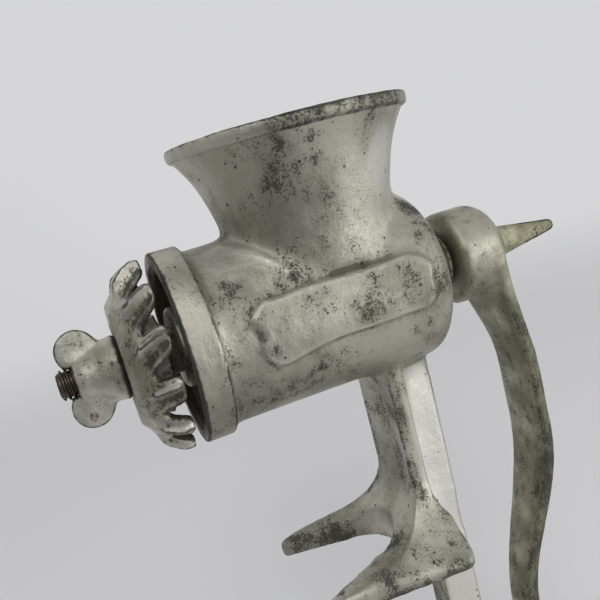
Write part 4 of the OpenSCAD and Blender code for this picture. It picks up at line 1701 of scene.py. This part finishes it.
@dataclass
class Cutter:
    """The crown cutter: a disc with a hub, and swept teeth that each carry a ridge.

    Attributes:
        layout: places of the grinder.
        finishes: the materials.
        ring: the tree that repeats a tooth.
        teeth: number of teeth.
        disc_r: radius of the crown at its face.
        disc_t: thickness of the disc that closes the face.
        hub_r: radius of the hub.
        wall_root: wall of the crown at the disc.
        wall_tip: thickness of a tooth at its tip.
        notch_depth: depth of a notch.
        notch_low: half width of a notch at its round bottom.
        notch_open: how much wider half a notch is between the tips.
        sweep: how far a tooth's tip is swept round from its root.
        ridge: height of a tooth's ridge.
        crest: place of the ridge across the tooth, from its lower edge (-1) to its upper (1).
        crest_w: width of the ridge, in half widths of the tooth.
        scoop: depth of the scoop below the ridge, as a share of the ridge's height.
        scoop_w: width of the scoop, in half widths of the tooth.
        lap: how far a tooth's slice of the crown reaches into the next one.
        bury: how steeply the lapping part dives below the next slice's surface.
        first_tip: angle of the first tooth's tip from +Y towards +Z, in degrees.
    """

    layout: Layout
    finishes: Finishes
    ring: NodeShape
    teeth: int = 12
    disc_r: float = 19.4
    disc_t: float = 3.0
    hub_r: float = 12.4
    wall_root: float = 3.2
    wall_tip: float = 2.0
    notch_depth: float = 7.6
    notch_low: float = 1.6
    notch_open: float = 2.3
    sweep: float = 5.0
    ridge: float = 2.6
    crest: float = 0.36
    crest_w: float = 0.26
    scoop: float = 0.5
    scoop_w: float = 0.38
    lap: float = 1.5
    bury: float = 1.2
    first_tip: float = 10.0

    def half_width(self, t: np.ndarray, radius: np.ndarray, notch_t: float) -> np.ndarray:
        """Half the width of a tooth.

        Args:
            t: place on the crown, from the face (0) to the tips (1).
            radius: radius of the crown there.
            notch_t: place of the notches' bottoms.

        Returns:
            Half widths in millimetres.
        """
        half_pitch = math.pi * radius / self.teeth
        w = np.clip((t - notch_t) / (1 - notch_t), 0, 1)
        round_bottom = np.sqrt(1 - (1 - np.clip(w / 0.18, 0, 1)) ** 2)
        notch = self.notch_low * round_bottom + self.notch_open * w**1.15
        end = np.sqrt(np.clip(1 - (np.clip(w - 0.80, 0, None) / 0.21) ** 2, 0.02, 1))
        return np.where(w > 0, (half_pitch - notch) * end, half_pitch + self.lap)

    def tooth(self) -> Shell:
        """One tooth with its slice of the crown, drawn about the X axis, tips at x = 0.

        Returns:
            The closed shape.
        """
        low, high = self.layout.low("cutter"), self.layout.high("cutter")
        rise = high.x - low.x
        tip_r = (high.z - low.z) / 2
        notch_t = 1 - self.notch_depth / rise
        rows = np.concatenate([
            np.linspace(0, notch_t, 14), notch_t + (1 - notch_t) * np.linspace(0, 1, 38)[1:] ** 1.25
        ])
        root_r = self.disc_r - 0.4
        radius = root_r + (tip_r - root_r) * (1 - (1 - rows) ** 1.6)
        along = rise * (rows - 1)
        slope = np.gradient(radius, along)
        length = np.sqrt(1 + slope**2)
        out_x, out_r = -slope / length, 1 / length
        across = np.linspace(-1, 1, 35)
        height = self.ridge * ease((rows - 0.14) / 0.34) * (1 - 0.4 * ease((rows - 0.8) / 0.2))
        wall = self.wall_root + (self.wall_tip - self.wall_root) * rows
        half = self.half_width(rows, radius, notch_t)
        half_pitch = math.pi * radius / self.teeth
        # Before the notches the slice laps over its neighbours, so places run a little past -1 and 1
        spread = across[None, :] * np.where(rows <= notch_t, half / half_pitch, 1.0)[:, None]
        fluting = bell(spread - self.crest, self.crest_w)
        fluting -= self.scoop * bell(spread + self.crest, self.scoop_w)
        ripple = fluting * ease((1 - np.abs(spread)) / 0.15) - 0.1
        buried = self.bury * np.clip(np.abs(spread) - 1, 0, None) * half_pitch[:, None]
        swept = self.sweep * (1 - rows) / radius
        sheets = []
        for inside in (0.0, 1.0):
            lift = height[:, None] * ripple * (1 - 0.5 * inside) - inside * wall[:, None]
            lift -= (1 - inside) * buried
            angle = math.radians(self.first_tip) + swept[:, None] - across[None, :] * (half / radius)[:, None]
            r = radius[:, None] + lift * out_r[:, None]
            x = along[:, None] + lift * out_x[:, None] * np.minimum(1, rows / 0.1)[:, None]
            sheets.append(np.stack([x, r * np.cos(angle), r * np.sin(angle)], axis=2))
        return closed_sheet(sheets[0], sheets[1])

    def mark(self, skin: Skin) -> None:
        """Marks the dark bowl, painted shade on the face under the nut and in the scoops, darker tips, and a
        painted highlight on the ridges.

        Args:
            skin: the cutter's skin.
        """
        x, y, z = skin.points.T
        low, high = self.layout.low("cutter").x, self.layout.high("cutter").x
        radius = np.hypot(y, z - self.layout.axis_z)
        outward = (skin.normals()[:, 1:] * skin.points[:, 1:]).sum(axis=1)
        outward -= skin.normals()[:, 2] * self.layout.axis_z
        bowl = (x > low + self.disc_t - 0.4) & (outward / radius < 0.15)
        skin.mark("inside", bowl.astype(float))
        # Painted shade on the face where the nut sits over it
        under_nut = ease((x - low - 1.2) / -1.0) * ease((14.5 - radius) / 2)
        tips = ease((x - high + 0.6) / 1.8)
        share = np.clip((x - low) / (high - low), 0, 1)
        angle = np.arctan2(z - self.layout.axis_z, y) - math.radians(self.first_tip)
        turn = (angle - self.sweep * (1 - share) / radius) * self.teeth / (2 * math.pi)
        across = 2 * (np.round(turn) - turn)
        # Painted shade in the scoop and a painted highlight on the ridge of each tooth
        fluting = 0.45 * bell(across + 0.25, 0.36) - 0.9 * bell(across - 0.3, 0.20)
        fluted = ease((share - 0.2) / 0.2) * (outward > 0)
        skin.mark("tone", 1.3 * under_nut + 0.7 * tips + fluting * fluted)

    def build(self) -> None:
        """Builds the cutter."""
        place = self.layout
        tip_x, face_x = place.high("cutter").x, place.low("cutter").x
        tooth = bpy.data.objects.new("tooth", self.tooth().mesh("tooth"))
        bpy.context.scene.collection.objects.link(tooth)
        tooth.data.transform(Matrix.Scale(1 / MM, 4))
        crown = self.ring.made({
            "Tooth": tooth, "Count": self.teeth, "Step angle": 2 * math.pi / self.teeth,
            "Material": self.finishes.rubbed,
        })
        bpy.data.objects.remove(tooth)
        # The disc lies just inside the crown, with a fillet behind it down to the hub
        face, bore, fillet = face_x - tip_x, square(place.drive_half + 0.25), 1.4
        back, disc_r = face + self.disc_t, self.disc_r - 0.5
        disc = turned([
            (face, bore), (face, disc_r - 0.5), (face + 0.5, disc_r), (back, disc_r),
            (back + fillet, disc_r - 1.9), (back + fillet, self.hub_r), (0.0, self.hub_r), (0.0, bore),
        ], 96, True)
        shell = joined([crown, disc]).moved(tip_x, 0, place.axis_z)
        mould = Casting(0.36, 16, 1, dents=((0.12, 4.0), (0.07, 1.3)))
        mesh = mould.cast(shell.mesh("crown_cutter_form"), "crown_cutter", None, self.mark)
        Piece("crown_cutter", mesh, Body.CUTTER, Slot.RUBBED, self.finishes.rubbed, ["cutter"]).settle()


def closed_sheet(outer: np.ndarray, inner: np.ndarray) -> Shell:
    """Closes two sheets of points into a thick one.

    Args:
        outer: rows of points on one side.
        inner: rows of points on the other side.

    Returns:
        The closed shape.
    """
    rows, columns, _ = outer.shape
    loop = np.concatenate([outer, inner[:, ::-1]], axis=1)
    faces = grid_faces(rows, 2 * columns, False, True)
    for row in (0, rows - 1):
        start = row * 2 * columns
        faces += [
            (start + j, start + j + 1, start + 2 * columns - 2 - j, start + 2 * columns - 1 - j)
            for j in range(columns - 1)
        ]
    return Shell(loop.reshape(-1, 3), faces)


@dataclass
class HandParts:
    """The pieces that a hand turns: wing nut, crank, thumb screw and grip.

    Attributes:
        layout: places of the grinder.
        finishes: the materials.
        rib: the helical rib's tree.
        thumb_pitch: pitch of the thumb screw's thread.
        thumb_r: outer radius of that thread.
        thumb_threaded: its length.
        spindle_r: radius of the grip's spindle.
        grip_r: greatest radius of the grip.
        grip_end_r: radius of its flat ends.
    """

    layout: Layout
    finishes: Finishes
    rib: NodeShape
    thumb_pitch: float = 1.411
    thumb_r: float = 3.97
    thumb_threaded: float = 16.0
    spindle_r: float = 3.2
    grip_r: float = 13.5
    grip_end_r: float = 7.5

    def nut(self) -> None:
        """Casts the wing nut."""
        place = self.layout
        low, high = place.low("wing_nut").x, place.high("wing_nut").x
        stud_r = (place.high("front_stud").z - place.low("front_stud").z) / 2
        axis = (0.0, place.axis_z)
        bore = Bore(Way.ALONG_BARREL, axis, stud_r, low - 1, high + 1, reach=0.5, play=0.0)

        def mark(skin: Skin) -> None:
            """Marks the dark bore and base, and the rust spot on a lobe.

            Args:
                skin: the nut's skin.
            """
            x, y, z = skin.points.T
            radius = np.hypot(y, z - place.axis_z)
            base = ease((x - high + 2.2) / 1.6)
            skin.mark("inside", (radius < stud_r + 0.7).astype(float))
            middle = Zone((-82, -8, 98), (4, 8, 7), 0.6).at(skin.points)
            skin.mark("tone", 1.3 * base + middle - 0.55)
            skin.mark("rusty", Zone((-91.6, -3.9, 84.3), (2.1, 2.4, 1.9), 0.75, False).at(skin.points))

        mould = Casting(0.38, 70, 3, dents=((0.12, 4.5), (0.05, 1.4)), bores=(bore,), widen=3)
        mesh = mould.cast(cad_copy("wing_nut"), "wing_nut_casting", None, mark)
        Piece("wing_nut_casting", mesh, Body.NUT, Slot.RUBBED, self.finishes.rubbed, ["wing_nut"]).settle()

    def crank(self) -> None:
        """Casts the crank with its hub, arm and eye."""
        hub = Zone((44, 0, 95.5), (15, 24, 21), -0.7)

        def mark(skin: Skin) -> None:
            """Marks a paler hub, a slightly darker arm, and painted shade on the arm's faces that look along
            Y.

            Args:
                skin: the crank's skin.
            """
            # Painted shade on the faces of the arm that look along Y
            side = ease((np.abs(skin.normals()[:, 1]) - 0.55) / 0.3)
            arm = 1 - ease((skin.points[:, 2] - 66) / 14)
            skin.mark("tone", hub.at(skin.points) + arm * (0.2 + 1.1 * side))

        mould = Casting(0.74, 60, 2, dents=((0.12, 9.0), (0.05, 2.6)))
        mesh = mould.cast(cad_copy("crank"), "crank_casting", None, mark)
        Piece("crank_casting", mesh, Body.CRANK, Slot.TINNED, self.finishes.handled, ["crank"]).settle()

    def thumb_screw(self) -> None:
        """Casts the thumb screw's head and cuts its thread."""
        place = self.layout
        low = place.low("thumb_screw").x
        axis, length = np.array([0, place.axis_z]), self.thumb_threaded

        def thin(points: np.ndarray) -> None:
            """Thins the shank, so that the thread can lie on it.

            Args:
                points: the points of the screw's copy.
            """
            shank = points[:, 0] < low + length - 0.5
            points[shank, 1:] = axis + 0.6 * (points[shank, 1:] - axis)

        mould = Casting(0.42, 26, 2, dents=((0.07, 5.0), (0.03, 1.4)))
        mesh = mould.cast(cad_copy("thumb_screw", thin), "thumb_screw_head")
        Piece(
            "thumb_screw_head", mesh, Body.THUMB_SCREW, Slot.RUBBED, self.finishes.dulled, ["thumb_screw"]
        ).settle()
        profile, thread = threaded_rod(
            self.rib, self.thumb_r, self.thumb_pitch, length, self.finishes.steel
        )
        core = turned([(0.0, AXIS_R)] + profile + [(length, AXIS_R)], 40)
        shell = joined([core, thread]).moved(low, 0, place.axis_z)
        mesh = sharpened(shell.mesh("thumb_screw_thread"), 0.5)
        Piece("thumb_screw_thread", mesh, Body.THUMB_SCREW, Slot.RUBBED, self.finishes.steel).settle()

    def grip(self) -> None:
        """Turns the wooden grip."""
        place = self.layout
        low, high = place.low("wooden_grip"), place.high("wooden_grip")
        length, middle = high.x - low.x, place.middle("wooden_grip")
        bore = self.spindle_r + 0.15
        t = np.linspace(0, 1, 61)[1:-1]
        swell = 0.86 + 0.14 * np.sin(2 * math.pi * (0.9 * t - 0.12)) - 0.06 * t
        radii = self.grip_r * swell * np.sqrt(1 - np.abs(2 * t - 1) ** 9)
        outline = [(0.0, bore), (0.0, self.grip_end_r)] + list(zip(length * t, radii))
        outline += [(length, self.grip_end_r), (length, bore)]
        shell = turned(outline, 96, True).moved(low.x, middle.y, middle.z)
        mesh = sharpened(shell.mesh("turned_grip"), 1.4)
        Piece("turned_grip", mesh, Body.GRIP, Slot.BEECH, self.finishes.beech, ["wooden_grip"]).settle()

    def build(self) -> None:
        """Builds the pieces."""
        self.nut()
        self.crank()
        self.thumb_screw()
        self.grip()


@dataclass
class Clamp:
    """The clamp under the table: a swivel pad and a wing-headed screw.

    Attributes:
        layout: places of the grinder.
        finishes: the materials.
        rib: the helical rib's tree.
        pitch: pitch of the screw's thread.
        screw_r: outer radius of the thread.
        head_drop: height of the wing head.
        nose_r: radius of the pad's hole for the screw's end.
    """

    layout: Layout
    finishes: Finishes
    rib: NodeShape
    pitch: float = 1.954
    screw_r: float = 6.35
    head_drop: float = 20.0
    nose_r: float = 4.0

    def pad(self) -> None:
        """Casts the swivel pad."""
        low, high = self.layout.low("clamp_pad"), self.layout.high("clamp_pad")
        middle = self.layout.middle("clamp_pad")
        axis = (middle.x, middle.y)
        nose = Bore(Way.UPWARDS, axis, self.nose_r, low.z - 1, high.z - 1.5, reach=0.5, play=0.1)
        mould = Casting(0.5, 8, 2, dents=((0.06, 4.0), (0.03, 1.5)), bores=(nose,))
        mesh = mould.cast(cad_copy("clamp_pad"), "swivel_pad")
        Piece("swivel_pad", mesh, Body.PAD, Slot.RUBBED, self.finishes.rubbed, ["clamp_pad"]).settle()

    def screw(self) -> None:
        """Casts the wing head and cuts the screw's thread."""
        place = self.layout
        middle = place.middle("clamp_screw")
        head_top = place.low("clamp_screw").z + self.head_drop
        pad_low = place.low("clamp_pad").z
        centre = np.array([middle.x, middle.y])

        def thin(points: np.ndarray) -> None:
            """Thins the shank between the head and the pad, so that the thread can lie on it.

            Args:
                points: the points of the screw's copy.
            """
            shank = (points[:, 2] > head_top + 0.5) & (points[:, 2] < pad_low + 0.01)
            offset = points[shank][:, :2] - centre
            wide = np.linalg.norm(offset, axis=1) > self.screw_r - 0.6
            offset[wide] *= 0.74
            kept = points[shank]
            kept[:, :2] = centre + offset
            points[shank] = kept

        mould = Casting(0.5, 40, 3, dents=((0.09, 6.0), (0.04, 1.7)))
        mesh = mould.cast(cad_copy("clamp_screw", thin), "clamp_wing_head")
        Piece(
            "clamp_wing_head", mesh, Body.CLAMP_SCREW, Slot.RUBBED, self.finishes.rubbed, ["clamp_screw"]
        ).settle()
        length = pad_low - head_top
        profile, rib = threaded_rod(self.rib, self.screw_r, self.pitch, length, self.finishes.steel)
        core = turned([(0.0, AXIS_R)] + profile + [(length, AXIS_R)], 48)
        shell = joined([core, rib]).laid(Way.UPWARDS)
        mesh = sharpened(shell.moved(middle.x, middle.y, head_top).mesh("clamp_thread"), 0.5)
        Piece("clamp_thread", mesh, Body.CLAMP_SCREW, Slot.RUBBED, self.finishes.steel).settle()

    def build(self) -> None:
        """Builds the clamp."""
        self.pad()
        self.screw()


# Stage


@dataclass(frozen=True)
class Camera:
    """The photograph's camera, found from the grinder's own rings and edges.

    Attributes:
        place: where it stands, in millimetres.
        heading: how far it looks from +Y towards +X, in degrees.
        dip: how far it looks down, in degrees.
        roll: how far it is rolled, in degrees.
        lens: focal length, in millimetres.
        sensor: width of the sensor, in millimetres.
    """

    place: tuple[float, float, float] = (-85.466, -209.516, 140.52)
    heading: float = 17.776
    dip: float = 10.999
    roll: float = 14.749
    lens: float = 40.289
    sensor: float = 36.0

    def build(self) -> None:
        """Makes the camera and gives it to the scene."""
        heading, dip, roll = (math.radians(a) for a in (self.heading, self.dip, self.roll))
        ahead = Vector((
            math.sin(heading) * math.cos(dip), math.cos(heading) * math.cos(dip), -math.sin(dip)
        ))
        level = Vector((math.cos(heading), -math.sin(heading), 0))
        above = level.cross(ahead)
        right = math.cos(roll) * level - math.sin(roll) * above
        up = math.sin(roll) * level + math.cos(roll) * above
        data = bpy.data.cameras.new("camera")
        data.lens = self.lens
        data.sensor_width = self.sensor
        data.clip_start, data.clip_end = 0.01, 30.0
        camera = bpy.data.objects.new("camera", data)
        turn = Matrix((right, up, -ahead)).transposed().to_4x4()
        camera.matrix_world = Matrix.Translation(Vector(self.place) * MM) @ turn
        bpy.context.scene.collection.objects.link(camera)
        bpy.context.scene.camera = camera


@dataclass
class Studio:
    """A pale floor with painted shade well in front, which fades into a pale room, with two soft lights.

    Attributes:
        floor_z: height of the floor, in millimetres.
        paper: colour of the floor near the grinder and behind it.
        painted_shade_paper: colour of the floor well in front of the grinder, painted shade where the room is
            darker.
        room: colour of the room.
        open_side: direction in which the room is palest.
        room_low: strength of the room's dark side.
        room_high: strength of its pale side.
        dark_way: direction along the floor in which it darkens.
        dark_from: distance that way where the floor starts to darken, in metres.
        dark_to: distance where it is darkest, in metres.
    """

    floor_z: float
    paper: str = "#f0f0f2"
    painted_shade_paper: str = "#87878a"
    room: str = "#fafafc"
    open_side: tuple[float, float, float] = (0.45, 0.80, 0.40)
    room_low: float = 0.20
    room_high: float = 0.70
    dark_way: tuple[float, float, float] = (-0.60, -0.80, 0)
    dark_from: float = 0.05
    dark_to: float = 0.50

    def floor(self) -> None:
        """Makes the floor, which fades out well away from the grinder."""
        radius, near, far = 1.6, 0.5, 1.4
        work = bmesh.new()
        bmesh.ops.create_circle(work, cap_ends=True, segments=96, radius=radius)
        mesh = bpy.data.meshes.new("floor")
        work.to_mesh(mesh)
        work.free()
        mesh.transform(Matrix.Translation((0, 0, self.floor_z * MM)))
        floor = bpy.data.objects.new("floor", mesh)
        bpy.context.scene.collection.objects.link(floor)
        material, tree = empty_material("matte_paper")
        place = add_node(tree, "ShaderNodeTexCoord").outputs["Object"]
        distance = add_node(
            tree, "ShaderNodeVectorMath", None, {0: place}, operation="LENGTH"
        ).outputs["Value"]
        ahead = add_node(
            tree, "ShaderNodeVectorMath", {1: self.dark_way}, {0: place}, operation="DOT_PRODUCT"
        ).outputs["Value"]
        smooth = {"interpolation_type": "SMOOTHSTEP"}
        fade = add_node(
            tree, "ShaderNodeMapRange", {"From Min": near, "From Max": far}, {"Value": distance}, **smooth
        ).outputs[0]
        # Painted shade on the floor well in front of the grinder
        darker = add_node(
            tree, "ShaderNodeMapRange", {"From Min": self.dark_from, "From Max": self.dark_to},
            {"Value": ahead}, **smooth
        ).outputs[0]
        colour = add_node(
            tree, "ShaderNodeMix", {6: linear(self.paper), 7: linear(self.painted_shade_paper)}, {0: darker},
            data_type="RGBA",
        ).outputs[2]
        paper = add_node(tree, "ShaderNodeBsdfPrincipled", {"Roughness": 0.9}, {"Base Color": colour})
        clear = add_node(tree, "ShaderNodeBsdfTransparent")
        mix = add_node(tree, "ShaderNodeMixShader", None, {0: fade, 1: paper.outputs[0], 2: clear.outputs[0]})
        add_node(tree, "ShaderNodeOutputMaterial", None, {"Surface": mix.outputs[0]})
        mesh.materials.append(material)
        floor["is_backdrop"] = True

    def sky(self) -> None:
        """Makes the room, which is pale behind the grinder and darker behind the photographer."""
        world = bpy.data.worlds.new("studio")
        world.use_nodes = True
        tree = world.node_tree
        tree.nodes.clear()
        way = add_node(tree, "ShaderNodeTexCoord").outputs["Generated"]
        towards = add_node(
            tree, "ShaderNodeVectorMath", {1: Vector(self.open_side).normalized()}, {0: way},
            operation="DOT_PRODUCT",
        ).outputs["Value"]
        spread = {"From Min": -1.0, "From Max": 0.85, "To Min": self.room_low, "To Max": self.room_high}
        strength = add_node(tree, "ShaderNodeMapRange", spread, {"Value": towards}).outputs[0]
        air = add_node(
            tree, "ShaderNodeBackground", {"Color": linear(self.room)}, {"Strength": strength}
        )
        add_node(tree, "ShaderNodeOutputWorld", None, {"Surface": air.outputs[0]})
        bpy.context.scene.world = world

    @staticmethod
    def lamp(name: str, place: tuple[float, float, float], size: tuple[float, float], watts: float) -> None:
        """Adds a soft light that looks at the grinder.

        Args:
            name: the light's name.
            place: where it stands, in metres.
            size: its width and height, in metres.
            watts: its power.
        """
        data = bpy.data.lights.new(name, "AREA")
        data.shape = "RECTANGLE"
        data.size, data.size_y = size
        data.energy = watts
        lamp = bpy.data.objects.new(name, data)
        target = Vector((0, 0, 0.08))
        lamp.location = place
        lamp.rotation_mode = "QUATERNION"
        lamp.rotation_quaternion = (target - Vector(place)).to_track_quat("-Z", "Y")
        bpy.context.scene.collection.objects.link(lamp)

    def build(self) -> None:
        """Builds the stage."""
        self.floor()
        self.sky()
        self.lamp("window", (0.84, -0.92, 0.12), (1.0, 0.6), 5.0)
        self.lamp("high_window", (-0.26, -0.80, 0.86), (0.5, 0.5), 3.2)


def dress(node: str, material: bpy.types.Material) -> None:
    """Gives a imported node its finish.

    Args:
        node: the node's name.
        material: the finish.
    """
    thing = bpy.data.objects[node]
    thing.data.materials.clear()
    thing.data.materials.append(material)
    LOG.info("%s keeps its packed shape", node)


def main() -> None:
    """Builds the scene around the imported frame."""
    logging.basicConfig(level=logging.INFO, format="%(name)s: %(message)s")
    for thing in list(bpy.data.objects):
        bpy.data.objects.remove(thing)
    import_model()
    cad_box = [list(corner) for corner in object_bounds()]
    bpy.context.scene.view_settings.view_transform = "Standard"
    Camera().build()
    layout, finishes = Layout(), Finishes()
    rib = helical_rib_tree()
    Stand(layout, finishes).build()
    Rotor(layout, finishes, rib).build()
    Cutter(layout, finishes, ring_tree()).build()
    HandParts(layout, finishes, rib).build()
    Clamp(layout, finishes, rib).build()
    dress("thrust_washer", finishes.fibre)
    dress("grip_spindle", finishes.steel)
    dress("grip_washers", finishes.steel)
    Studio(cad_box[0][2] / MM - FLOOR_GAP).build()


if __name__ == "__main__":
    main()
